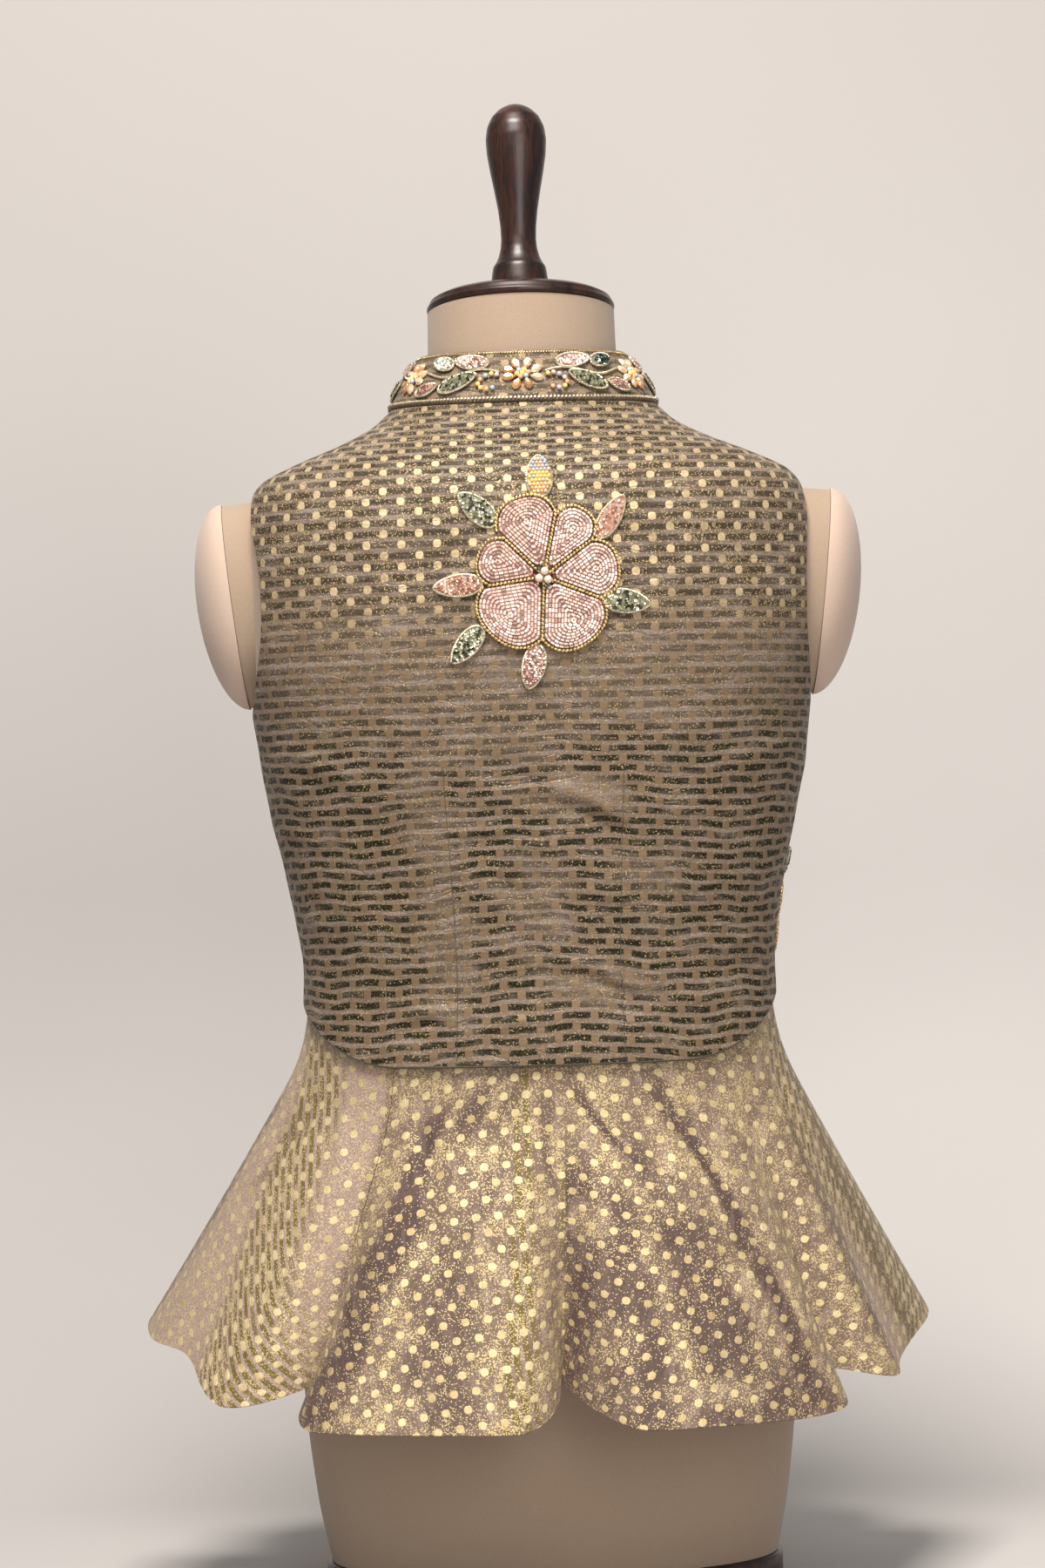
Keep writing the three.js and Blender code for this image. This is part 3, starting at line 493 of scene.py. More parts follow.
def brocade_material(
    name, ground, ground_painted_lit, band, dot, dot_painted_shade, glitter, lilac, speck, painted_sheen, band_gap, crinkle, dot_floor
):
    """Dots of gold in staggered rows, joined by dark lurex bands, on a satin ground with fine gold flecks.

    The cloth attribute holds the flat cloth's place. The tone attribute holds the light and shade painted
    there:
    painted light, which brightens the gold and blends the ground towards its lit copy; how strongly the dark
    bands show, which painted sheen weakens; and painted shade, which holds the painted light back and leaves
    the ground's shaded copy, painted plum on the peplum. The dots' two colours are their lit and shaded copies,
    lilac is the colour of the painted sheen, and dot_floor is the least painted light that the dots get.
    """
    s = Shader(name)
    u, v, _ = s.split(s.attribute("cloth"))
    painted_light, dark, painted_shade = s.split(s.attribute("tone"))
    flat = s.together(u, v)

    # Dots and bands, with ragged edges
    waver = s.noise(flat, (0.5, 2.2, 1), 3.0, 0.7) * 1.5 - 0.75
    row_place = v / DOT_ROW
    odd = s.math("FLOORED_MODULO", s.math("FLOOR", row_place), 2.0)
    column_place = (odd * (DOT_COLUMN / 2) + u) / DOT_COLUMN
    across = (s.math("FRACT", column_place) - 0.5) * DOT_COLUMN
    along = (s.math("FRACT", row_place) - 0.5) * DOT_ROW
    dot_reach = abs(across / DOT_HALF) ** DOT_POWER + abs(along / DOT_HALF) ** DOT_POWER + waver * 0.35
    dot_mask = s.ramp(dot_reach, 1.15, 0.75)
    band_line = s.ramp(waver * 1.25 + abs(along), BAND_HALF + BAND_SOFT, BAND_HALF - BAND_SOFT)
    off_dot = s.ramp(waver * 1.6 + abs(across), band_gap, band_gap + GAP_SOFT)

    # Painted sheen: the bands are weaker in patches and on the puckers' ridges, where a lilac sheen is painted
    sheen_patch_noise = s.noise(flat, (0.028, 0.09, 1), 3.0, 0.6)
    broken = s.noise(flat, (0.16, 0.9, 1), 2.0, 0.6)
    pucker = s.noise(flat, (0.035, 0.17, 1), 3.0, 0.55)
    ridge = s.ramp(pucker, 0.52, 0.62) * crinkle
    whole = s.most(s.ramp(broken * 0.45 + sheen_patch_noise, 0.98, 0.72), painted_light * 0.8) * (1.0 - ridge * 0.4)
    band_mask = band_line * off_dot * (dark * (whole * 0.6 + 0.4))

    # Gold flecks, set thicker where light is painted and thinner in painted shade
    chance = s.cells(flat, (1.5, 1.6, 1))
    fine = s.cells(flat, (1.8, 1.9, 1))
    drift = s.noise(flat, (0.045, 0.045, 1), 3.0, 0.55)
    unshaded_share = 1.0 - painted_shade * 0.85
    level = (s.ramp(drift, 0.42, 0.62) * 0.75 + 0.25) * unshaded_share * (painted_light * 0.8 + 0.2)
    fleck = s.above(chance, 0.97 - level * speck)

    # Colour, from the ground up: painted light blends the ground towards its lit copy, and the dots from their
    # shaded copy to their lit one
    base = s.blend(painted_light * unshaded_share * s.ramp(drift, 0.3, 0.6, 0.7, 1.0), ground, ground_painted_lit)
    sheen_wash = s.most(s.ramp(sheen_patch_noise, 0.48, 0.66) * 0.6 * unshaded_share, ridge * 0.55)
    side_sheen = s.math("MINIMUM", (1.0 - painted_light) * unshaded_share * painted_sheen, 1.0)
    base = s.shaded(s.blend(s.most(sheen_wash, side_sheen), base, lilac), fine * 0.62 + 0.7)
    base = s.blend(band_mask, base, s.blend(s.above(fine, 0.84) * 0.15, band, glitter))
    base = s.blend(fleck * 0.7, base, glitter)
    spark = s.ramp(s.noise(flat, (0.06, 0.06, 1)), 0.3, 0.55, 0.5, 1.0)
    dot_painted_light = s.most(painted_light, dot_floor) * (chance * 0.4 + 0.7) * (unshaded_share * 0.55 + 0.45) * spark
    base = s.blend(dot_mask * 0.94, base, s.blend(dot_painted_light, dot_painted_shade, dot))

    # Relief: threads, raised dots, sunk bands, puckers and pressed lines
    threads = s.wave(flat, 0.62, 0.4, 1.0, "Y")
    height = threads * 0.25 + fine * 0.3 + dot_mask * 0.5 - band_mask * 0.25 + pucker * (7 * crinkle)
    winding = s.noise(flat, (0.018, 0.075, 1))
    pressed = s.ramp(abs(winding - 0.5), 0.022, 0.0) * s.ramp(sheen_patch_noise, 0.46, 0.6)
    height = height - pressed * (3.4 * crinkle)

    gold = s.most(dot_mask, fleck * 0.8)
    return s.set(
        color=base,
        metal=s.most(gold * 0.35, band_mask * 0.2),
        rough=0.62 - gold * 0.16,
        normal=s.bump_from(height, 0.00022, 0.7),
        sheen=0.06,
        sheen_rough=0.4,
        specular=0.22,
    )


def scaled(color, share):
    return tuple(c * share for c in color)


def lining_material(name, color):
    s = Shader(name)
    place = s.place()
    weave = s.wave(place, 0.9, 1.2, 2.0, "DIAGONAL")
    tint = s.blend(s.ramp(s.noise(place, 0.05, 3.0), 0.35, 0.7), color, scaled(color, 1.35))
    return s.set(color=tint, rough=0.55, normal=s.bump_from(weave, 0.0001, 0.5), sheen=0.15)


def linen_material(name, color, shade):
    """Plain-woven cover: two crossed rows of threads with slubs, and slow changes of colour."""
    s = Shader(name)
    place = s.place()
    level = s.noise(place, (0.9, 0.9, 5.0), 3.0, 0.65)
    upright = s.noise(place, (5.0, 5.0, 0.7), 3.0, 0.65)
    slub = level * 0.5 + upright * 0.5
    base = s.blend(s.ramp(slub, 0.36, 0.64), shade, color)
    cloud = s.ramp(s.noise(place, 0.018, 3.0, 0.6), 0.4, 0.7)
    base = s.blend(cloud * 0.35, base, scaled(color, 0.93))
    relief = s.bump_from(slub, 0.0005, 0.45)
    return s.set(color=base, rough=0.85, normal=relief, sheen=0.25, sheen_rough=0.5, specular=0.25)


def wood_material(name):
    """Dark polished hardwood with reddish streaks along the turning."""
    s = Shader(name)
    place = s.place()
    warp = s.noise(place, (0.12, 0.12, 0.02), 3.0, 0.6)
    grain = s.noise(place, (0.9, 0.9, 0.045), 5.0, 0.7)
    streak = s.ramp(warp * 0.6 + grain * 0.6, 0.46, 0.74)
    base = s.blend(streak, (0.005, 0.002, 0.0016), (0.045, 0.014, 0.007))
    relief = s.bump_from(grain, 0.0002, 0.2)
    return s.set(color=base, rough=0.36, coat=0.1, coat_rough=0.12, normal=relief, specular=0.5)


def toned_material(name, rough, metal=0.0, coat=0.0, spread=0.12):
    """Many small pieces, each with the colour that its points carry."""
    s = Shader(name)
    vary = s.noise(s.place(), 0.9) * (spread * 2) + (1 - spread)
    color = s.shaded(s.attribute("tone", "Color"), vary)
    return s.set(color=color, rough=rough, metal=metal, specular=0.5, coat=coat, coat_rough=0.05)


def metal_material(name, color, dull, rough):
    """Bright wire, with darker metal in soft random patches."""
    s = Shader(name)
    place = s.place()
    base = s.blend(s.ramp(s.noise(place, 0.35, 3.0, 0.6), 0.35, 0.65), dull, color)
    relief = s.bump_from(s.noise(place, 2.5), 0.0002, 0.4)
    return s.set(color=base, metal=0.7, rough=rough, normal=relief)


# The ground's two colours and the dots' two colours are lit and shaded copies; lilac is the colour of the
# painted sheen
BROCADE = brocade_material(
    "brocade",
    ground=(0.215, 0.157, 0.108),
    ground_painted_lit=(0.165, 0.115, 0.08),
    band=(0.016, 0.013, 0.005),
    dot=(0.72, 0.57, 0.33),
    dot_painted_shade=(0.21, 0.138, 0.078),
    glitter=(0.6, 0.46, 0.22),
    lilac=(0.32, 0.252, 0.215),
    speck=0.14,
    painted_sheen=0.0,
    band_gap=1.9,
    crinkle=0.8,
    dot_floor=0.0,
)
PEPLUM_BROCADE = brocade_material(
    "peplum_brocade",
    ground=(0.075, 0.044, 0.042),
    ground_painted_lit=(0.245, 0.172, 0.122),
    band=(0.16, 0.118, 0.036),
    dot=(0.84, 0.69, 0.38),
    dot_painted_shade=(0.3, 0.19, 0.075),
    glitter=(0.78, 0.62, 0.3),
    lilac=(0.39, 0.285, 0.225),
    speck=0.36,
    painted_sheen=1.7,
    band_gap=2.4,
    crinkle=0.3,
    dot_floor=0.85,
)
LINING = lining_material("lining", (0.035, 0.022, 0.026))
LINEN = linen_material("linen", (0.425, 0.318, 0.232), (0.345, 0.25, 0.178))
CAP_LINEN = linen_material("cap_linen", (0.62, 0.47, 0.38), (0.53, 0.39, 0.31))
WOOD = wood_material("walnut")
GLASS = toned_material("bugle_glass", rough=0.2, metal=0.05, coat=0.6, spread=0.18)
BEADS = toned_material("seed_beads", rough=0.25, coat=0.5, spread=0.06)
SEQUINS = toned_material("sequins", rough=0.22, metal=0.55, coat=0.4, spread=0.25)
CRYSTALS = toned_material("crystals", rough=0.06, metal=0.25, coat=1.0, spread=0.25)
PEARLS = toned_material("pearls", rough=0.22, coat=0.7, spread=0.04)
GOLD = metal_material("gold_wire", (0.86, 0.64, 0.3), (0.5, 0.33, 0.12), 0.28)
SILVER = metal_material("silver_wire", (0.9, 0.82, 0.62), (0.62, 0.53, 0.36), 0.36)

# Dress form

FORM_SIDES = 96


def lean_neck(points):
    """The neck's upper sections lean forward towards the tilted block."""
    z = points[..., 2]
    share = smooth((z - NECK_LEAN_FROM) / 30)
    lean = math.tan(math.radians(NECK_TILT)) * share
    points[..., 2] = z - (points[..., 1] - body_shift(z)) * lean
    return points


def body_ring(z, out):
    return body_point(np.arange(0, 360, 2.5), float(z), out)


def add_form_body():
    levels = np.concatenate([np.arange(18.3, 660, 9), np.arange(660, NECK_TOP, 2.5), [NECK_TOP]])
    rings = [lean_neck(body_ring(z, 0)) for z in levels]
    ends = [(0, 0, levels[0]), (0, body_shift(NECK_TOP), NECK_TOP)]
    points, faces = loft(rings, ends)
    for side in (-1, 1):
        stub_points, stub_faces = arm_stub(side)
        faces += [[i + len(points) for i in face] for face in stub_faces]
        points = np.concatenate([points, stub_points])
    body = mesh_object("form_body", points, faces, [LINEN])
    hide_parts("form_torso")


STUB_START = 120
STUB_TOP = 671
STUB_BOTTOM = 546
STUB_DEPTH = 42
STUB_MIDDLE = -1
STUB_POWER = 2.1
STUB_FLARE = 7
CAP_TOP_X = 188
CAP_BOTTOM_X = 174
CAP_RISE = 24
CAP_LIP = 1.2


def stub_oval(angle, share, grow):
    up, back = np.cos(angle), np.sin(angle)
    reach = (np.abs(up) ** STUB_POWER + np.abs(back) ** STUB_POWER) ** (-1 / STUB_POWER)
    half = (STUB_TOP - STUB_BOTTOM) / 2
    y = STUB_MIDDLE - (STUB_DEPTH + grow) * back * reach * share
    z = (STUB_TOP + STUB_BOTTOM) / 2 + (half + grow) * up * reach * share
    return y, z


def cap_plane(z):
    return mix(CAP_BOTTOM_X, CAP_TOP_X, (z - STUB_BOTTOM) / (STUB_TOP - STUB_BOTTOM))


def arm_stub(side):
    rings = []
    for share in np.linspace(0, 1, 8):
        y, z = stub_oval(side * full_turn(FORM_SIDES), 1, mix(STUB_FLARE, 0, share))
        rings.append(stack(side * mix(STUB_START, cap_plane(z), share), y, z))
    middle = (STUB_TOP + STUB_BOTTOM) / 2
    return loft(rings, [(side * x, STUB_MIDDLE, middle) for x in (STUB_START, cap_plane(middle))])


def add_arm_cap(side, word):
    rings = []
    for tilt in np.radians([0, *range(3, 90, 6)]):
        y, z = stub_oval(side * full_turn(FORM_SIDES), math.cos(tilt), CAP_LIP)
        rings.append(stack(side * (cap_plane(z) + SEAM_GAP + CAP_RISE * math.sin(tilt)), y, z))
    middle = (STUB_TOP + STUB_BOTTOM) / 2
    x = cap_plane(middle) + SEAM_GAP
    points, faces = loft(rings, [(side * end, STUB_MIDDLE, middle) for end in (x, x + CAP_RISE)])
    cap = mesh_object("arm_cap_" + word, points, faces, [CAP_LINEN])
    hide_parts("form_arm_cap_" + word)


# Turned wood: height and radius
DISC_TOP = 15
DISC_PROFILE = [
    (0, 56.5), (1, 58.2), (3, 58.6), (4.6, 57.6), (7.2, 56.4),
    (9.4, 52), (11.6, 42), (13.4, 30), (DISC_TOP, 21),
]
HANDLE_PROFILE = [
    (0, 17.8), (3.4, 18), (11.2, 16.9), (14.2, 16.4), (16, 14.8), (20.3, 12.8), (26, 11.4), (31.9, 10.9),
    (39.9, 11.2), (50.9, 12.4), (63.8, 14.6), (74.6, 16.6), (85.9, 18.4), (95.7, 19), (103.6, 17.9),
    (110.1, 14.9), (114.8, 10.2), (117.5, 5), (118.5, 0.4),
]


def smooth_profile(profile):
    """A profile's heights and radii, with points added between its own and then evened out."""
    table = np.array(profile, float)
    reach = reach_along(table)
    fine = np.unique(np.concatenate([np.linspace(0, reach[-1], 90), reach]))
    z, r = (np.interp(fine, reach, column) for column in table.T)
    for _ in range(3):
        for values in (z, r):
            values[1:-1] = (values[:-2] + 2 * values[1:-1] + values[2:]) / 4
    return z, r


def add_turned(name, node, profile, lift):
    z, r = smooth_profile(profile)
    angle = full_turn(FORM_SIDES)
    rings = [stack(q * np.cos(angle), q * np.sin(angle), h + lift) for h, q in zip(z, r)]
    points, faces = loft(rings, [(0, 0, z[0] + lift), (0, 0, z[-1] + lift)])
    tilt = Matrix.Rotation(-math.radians(NECK_TILT), 3, "X")
    seat = np.array([0, float(body_shift(NECK_TOP)), NECK_TOP + SEAM_GAP])
    points = points @ np.array(tilt).T + seat
    turned = mesh_object(name, points, faces, [WOOD], sharp=40)
    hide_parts(node)


# The base board's rounded edge: height, and how far it stands out from the form
BOARD_EDGE = [(0, 1), (0.6, 2.4), (2, 3), (16, 3), (17.4, 2.4), (BASE_THICK, 1)]


def add_base_board():
    rings = []
    for z, out in BOARD_EDGE:
        ring = body_ring(BASE_THICK, out)
        ring[..., 2] = z
        rings.append(ring)
    points, faces = loft(rings, [(0, 0, 0), (0, 0, BASE_THICK)])
    board = mesh_object("base_board", points, faces, [WOOD])
    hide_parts("form_base_board")


# Bodice


def hem_height(turn):
    return WAIST_HEIGHT - HEM_DROP * (1 - smooth((np.abs(turn) - 35) / 55))


def bodice_ease(z):
    return BODICE_EASE + HEM_EASE * smooth((WAIST_HEIGHT + 25 - z) / 55)


def neckline_height(turn):
    away = np.abs(turn)
    behind = mix(NAPE_HEIGHT, NECK_SIDE_HEIGHT, smooth(away / 90))
    before = mix(NECK_SIDE_HEIGHT, NECK_FRONT_HEIGHT, smooth((away - 90) / 90))
    return np.where(away < 90, behind, before)


# Creases of the bodice: turn and height of both ends, how far they stand out, and their half width
CREASES = [
    (2, 492, 24, 469, 1.8, 5),
    (3, 482, 22, 461, -1.2, 4),
    (-12, 442, -2, 422, -1.3, 2.4),
    (-38, 350, -18, 362, 1.1, 3),
    (-36, 342, -20, 353, -1.0, 2.4),
    (-14, 346, 0, 352, 0.9, 3),
    (2, 388, 32, 371, 1.2, 4),
    (4, 379, 30, 363, -1.0, 3),
    (32, 364, 47, 354, 0.9, 3),
    (-21, 462, -4, 467, 0.8, 3),
    (-36, 414, -26, 420, 0.9, 3),
    (7, 427, 24, 422, 0.8, 3),
    (62, 388, 65, 350, 0.9, 4),
    (10, 345, 40, 352, 0.8, 3),
    (-62, 520, -36, 500, 1.0, 7),
    (66, 524, 40, 498, 1.1, 7),
    (-70, 470, -48, 462, 0.8, 6),
    (72, 440, 50, 452, 0.9, 6),
    (74, 400, 40, 388, 0.8, 5),
    (-74, 410, -52, 418, 0.7, 5),
    (120, 470, 150, 480, 0.9, 6),
    (-118, 468, -150, 482, 0.9, 6),
    (116, 388, 160, 380, 0.8, 5),
    (-116, 390, -156, 378, 0.8, 5),
]


DART_TURN = 20
DART_TOP = 506
CREASE_GAIN = 1.9
SLACK_LIMIT = 2
PUCKERED = (-22, 1, 20, 158, -159)  # turns where seams and darts draw the cloth into small puckers


def crease_height(table, turn, level, around, sway, sway_run, broad, reach):
    """How far a table's creases stand out, where a degree is so many millimetres around the body."""
    total = np.zeros(np.broadcast(turn, level).shape)
    for t0, level0, t1, level1, depth, width in table:
        dx, dy = (t1 - t0) * around, level1 - level0
        length = math.hypot(dx, dy)
        x, y = (turn - t0) * around, level - level0
        along = (x * dx + y * dy) / length
        off = (x * dy - y * dx) / length + sway * np.sin(along / sway_run)
        total += depth * bump(off / (width * broad)) * bump((along / length - 0.5) / reach)
    return total


def slack(turn, z):
    """Slow waves in the cloth between the waist and the chest, and puckers along the darts and seams."""
    low = smooth((560 - z) / 60) * smooth((z - 330) / 30)
    wave = np.sin(z / 13.5 + 0.06 * turn) * np.sin(turn / 9.0 + z / 70)
    ripple = np.sin(z / 6.2 + 1.4 * np.sin(turn / 8)) * np.sin(turn / 6.0 - z / 31)
    darted = smooth((DART_TOP + 14 - z) / 30) * smooth((z - 338) / 16)
    pucker = 0
    for k, line in enumerate(PUCKERED):
        swing = np.sin(z / (1.75 + 0.11 * k) + turn / 5 + k) + 0.6 * np.sin(z / (2.9 - 0.13 * k) - turn / 4)
        pucker = pucker + 0.3 * swing * bump((turn - line) / (8 + 3 * np.sin(z / 19 + k)))
    creased = CREASE_GAIN * crease_height(CREASES, turn, z, 2.3, 3, 11, 1.5, 0.62)
    return np.maximum(0.5 * low * wave + 0.3 * low * ripple + darted * pucker + creased, -SLACK_LIMIT)


def bodice_point(turn, z, out):
    return body_point(turn, z, bodice_ease(z) + out + slack(turn, z))


LOWER_ROWS = 84
ARMHOLE_ROWS = 66
SHOULDER_ROWS = 26


def bodice_rows():
    """Rows from the hem up: hem share, heights at the panel's edge and middle, and the edge's draw back."""
    rows = []
    for t in np.linspace(0, 1, LOWER_ROWS + 1):
        edge = mix(WAIST_HEIGHT, UNDERARM_HEIGHT, t)
        rows.append((1 - t, edge, edge, 0))
    tall = SHOULDER_TIP_HEIGHT - UNDERARM_HEIGHT
    for k in range(1, ARMHOLE_ROWS + 1):
        share = k / ARMHOLE_ROWS
        t = math.pi * share
        edge = UNDERARM_HEIGHT + tall * (1 - math.cos(t)) / 2
        rows.append((0, edge, UNDERARM_HEIGHT + tall * share, ARMHOLE_TURN * math.sin(t)))
    for k in range(1, SHOULDER_ROWS + 1):
        edge = mix(SHOULDER_TIP_HEIGHT, NECK_SIDE_HEIGHT, (k / SHOULDER_ROWS) ** 0.9)
        rows.append((0, edge, edge, 0))
    return np.array(rows)


def bodice_grid(start, end, columns):
    """Turns and heights of a panel's points."""
    rows = bodice_rows()
    share = np.linspace(0, 1, columns + 1)
    hem, edge, middle, back = (rows[:, k, None] for k in range(4))
    side_start = abs(abs(start) - 90) < 1
    side_end = abs(abs(end) - 90) < 1
    cut_start = (LEFT_BACK_CUT if start < 0 else 1) * back if side_start else 0 * back
    cut_end = back if side_end else 0 * back
    turn = mix(start + cut_start, end - cut_end, share)
    flat = mix(start, end, share)[None, :] + 0 * turn
    from_side = np.abs(np.abs(flat) - 90) / 90
    level = mix(edge, middle, 1 - (1 - from_side) ** 2)
    base = np.where(np.abs(flat) < 90, NECK_SIDE_HEIGHT - 30, CHEST_HEIGHT)
    rising = mix(base, neckline_height(flat), (level - base) / (NECK_SIDE_HEIGHT - base))
    z = np.where(level <= base, level, rising)
    z = np.where(hem > 0, mix(UNDERARM_HEIGHT, hem_height(flat), hem), z)
    return turn, z


# How far round the body each turn lies at each height, on the cloth's line
ARC_EASE = 3
ARC_TURN_STEP = 0.5
ARC_LEVEL_STEP = 3
ARC_TURNS = np.arange(-180, 180.1, ARC_TURN_STEP)
ARC_LEVELS = np.arange(320, 740.1, ARC_LEVEL_STEP)
ARC = np.stack([reach_along(body_point(ARC_TURNS, level, ARC_EASE)) for level in ARC_LEVELS])


def arc_at(turn, z):
    """How far round the body a turn lies at a height, from turn -180."""
    i = np.clip((turn - ARC_TURNS[0]) / ARC_TURN_STEP, 0, len(ARC_TURNS) - 1.001)
    j = np.clip((z - ARC_LEVELS[0]) / ARC_LEVEL_STEP, 0, len(ARC_LEVELS) - 1.001)
    i0, j0 = i.astype(int), j.astype(int)
    a, b = i - i0, j - j0
    low = mix(ARC[j0, i0], ARC[j0, i0 + 1], a)
    high = mix(ARC[j0 + 1, i0], ARC[j0 + 1, i0 + 1], a)
    return mix(low, high, b)


def rise_at(z, turn):
    """How far up the cloth a height lies, along the body's profile at that turn."""
    return np.interp(z, ARC_LEVELS, reach_along(body_point(turn, ARC_LEVELS, ARC_EASE)))


def cloth_place(u, v, painted_light, dark, painted_shade):
    """The flat cloth's place, and how the weave catches the light there."""
    # These are painted light, the bands' strength under painted sheen, and painted shade
    return stack(u, v, 0 * u, painted_light, dark, painted_shade)


# Patches of painted sheen, where the back's dark bands fade in the puckers: turn, height, half sizes both ways
# and strength
SHEEN_PATCHES = [
    (-23, 470, 5, 44, 0.5),
    (-21, 396, 6, 40, 0.55),
    (11, 489, 10, 9, 0.9),
    (14, 372, 12, 9, 0.7),
    (0, 420, 7, 26, 0.5),
    (-6, 520, 14, 14, 0.4),
    (20, 545, 12, 16, 0.5),
    (26, 440, 8, 12, 0.4),
]


def bodice_cloth(turn, z, centre):
    """The flat cloth's place, with its rows level and its columns counted from the panel's own centre."""
    u = arc_at(turn, z) - arc_at(np.full_like(turn, centre), z)
    tent = 5 * bump(turn / 42) * smooth((540 - z) / 90) if centre == 0 else 0
    low = smooth((560 - z) / 60)
    wave = 0.9 * np.sin(turn / 7 + z / 23) + 0.5 * np.sin(turn / 3.3 - z / 15)
    wave += 0.3 * np.sin(turn / 1.7 + z / 9)
    v = rise_at(z - tent, 28 if centre == 0 else 150) + wave * low
    # Painted light: the upper back's gold is painted lit, less so near the sides and the very top; the bands
    # are painted fainter upwards, and painted sheen fades them round 560 and in the back's patches
    ripple = np.sin(turn / 6.5) * 8 + np.sin(turn / 3.1 + 1.0) * 4
    top = smooth((z - 575 + ripple) / 45)
    crown = smooth((z - 672) / 25)
    side = smooth((np.abs(np.abs(turn) - 90) - 8) / 22)
    painted_light = 0.06 + top * (0.9 - 0.3 * crown) * mix(0.4, 1, side)
    dark = mix(1, 0.76, smooth((z - 545 + ripple) / 70)) + 0.15 * crown
    painted_sheen = 0.45 * bump((z - 560) / 55) * smooth((75 - np.abs(turn)) / 30)
    if centre == 0:
        for turn_at, level, half_turn, half_level, share in SHEEN_PATCHES:
            away = np.hypot((turn - turn_at) / half_turn, (z - level) / half_level)
            painted_sheen = np.maximum(painted_sheen, share * smooth(1.6 - away + 0.35 * np.sin(z / 5 + turn / 3)))
    return cloth_place(u, v, painted_light, dark - painted_sheen, 0 * z)


def half_gap(gap, radius):
    """Half of a gap between two panels, in degrees."""
    return math.degrees(gap / 2 / radius)


def add_bodice():
    seam = half_gap(SEAM_GAP, 150)
    opening = half_gap(FRONT_OPENING, 60)
    panels = [
        ("bodice_back", -90 + seam, 90 - seam, 132, 0),
        ("bodice_front_right", 90 + seam, 180 - opening, 76, 180),
        ("bodice_front_left", -180 + opening, -90 - seam, 76, -180),
    ]
    for node, start, end, columns, centre in panels:
        turn, z = bodice_grid(start, end, columns)
        wall = lambda out: bodice_point(turn, z, CLOTH * out)
        cloth_panel(node, wall, bodice_cloth(turn, z, centre), BROCADE)


# Collar


NECK_HALF = 59
NECK_DEPTH = 56
COLLAR_LIFT = 1.6  # how far the collar's foot stands over the neckline


def collar_foot(turn, lift):
    point = body_point(turn, neckline_height(turn), BODICE_EASE + lift)
    point[..., 2] += COLLAR_LIFT
    return point


def collar_head(turn, lift):
    across, behind = np.sin(np.radians(turn)), np.cos(np.radians(turn))
    level = neckline_height(turn) + COLLAR_HEIGHT
    ease = COLLAR_TOP_EASE + lift
    return stack((NECK_HALF + ease) * across, body_shift(level) - (NECK_DEPTH + ease) * behind, level)


def collar_point(turn, up, out):
    """A point of the collar: up is 0 at its seam and 1 at its top edge, and out is from its outer face."""
    turn, up, out = (np.asarray(a, float) for a in np.broadcast_arrays(turn, up, out))
    lift = COLLAR_WALL + out
    bow = 1.2 * np.sin(np.pi * up)
    across, behind = np.sin(np.radians(turn)), np.cos(np.radians(turn))
    flat = mix(collar_foot(turn, lift), collar_head(turn, lift), up[..., None])
    return flat + stack(across * bow, -behind * bow, 0 * bow)


def add_collar():
    opening = half_gap(FRONT_OPENING, 60)
    turn, up = np.meshgrid(np.linspace(-180 + opening, 180 - opening, 361), np.linspace(0, 1, 19))
    wall = lambda out: collar_point(turn, up, COLLAR_WALL * (out - 1))
    # Even painted light, band strength and painted shade all round the collar
    cloth = cloth_place(turn * 1.25, 40 * up, 0.3, 0.6, 0.6)
    cloth_panel("collar", wall, cloth, BROCADE)


# Peplum


def flare_at(slope, along):
    """How far out and how far down the flaring cloth has come, at a distance along it."""
    steps = 24
    reach, drop = 0, 0
    for k in range(steps):
        s = (k + 0.5) / steps * along
        lean = np.radians(mix(FLARE_START, slope, smooth(s / FLARE_RUN)))
        reach = reach + np.sin(lean) * along / steps
        drop = drop + np.cos(lean) * along / steps
    return reach, drop


# Creases of the peplum: turn and distance down of both ends, depth and half width in millimetres
FLOUNCE_CREASES = [
    (14, 18, 27, 72, -2.6, 6),
    (12, 14, 24, 66, 1.8, 6),
    (30, 26, 40, 96, -1.8, 7),
    (20, 96, 28, 168, -1.5, 7),
    (-30, 20, -24, 60, -1.6, 5),
    (-26, 40, -18, 130, -1.6, 8),
    (-14, 60, -10, 150, 1.2, 8),
    (38, 10, 43, 60, 1.4, 5),
    (-58, 30, -70, 96, -1.8, 6),
    (-50, 26, -46, 80, 1.2, 5),
    (72, 20, 68, 90, -1.2, 5),
    (110, 20, 118, 90, -1.6, 6),
    (-126, 24, -132, 96, -1.6, 6),
    (160, 20, 154, 88, 1.4, 6),
    (-168, 26, -160, 90, 1.4, 6),
]


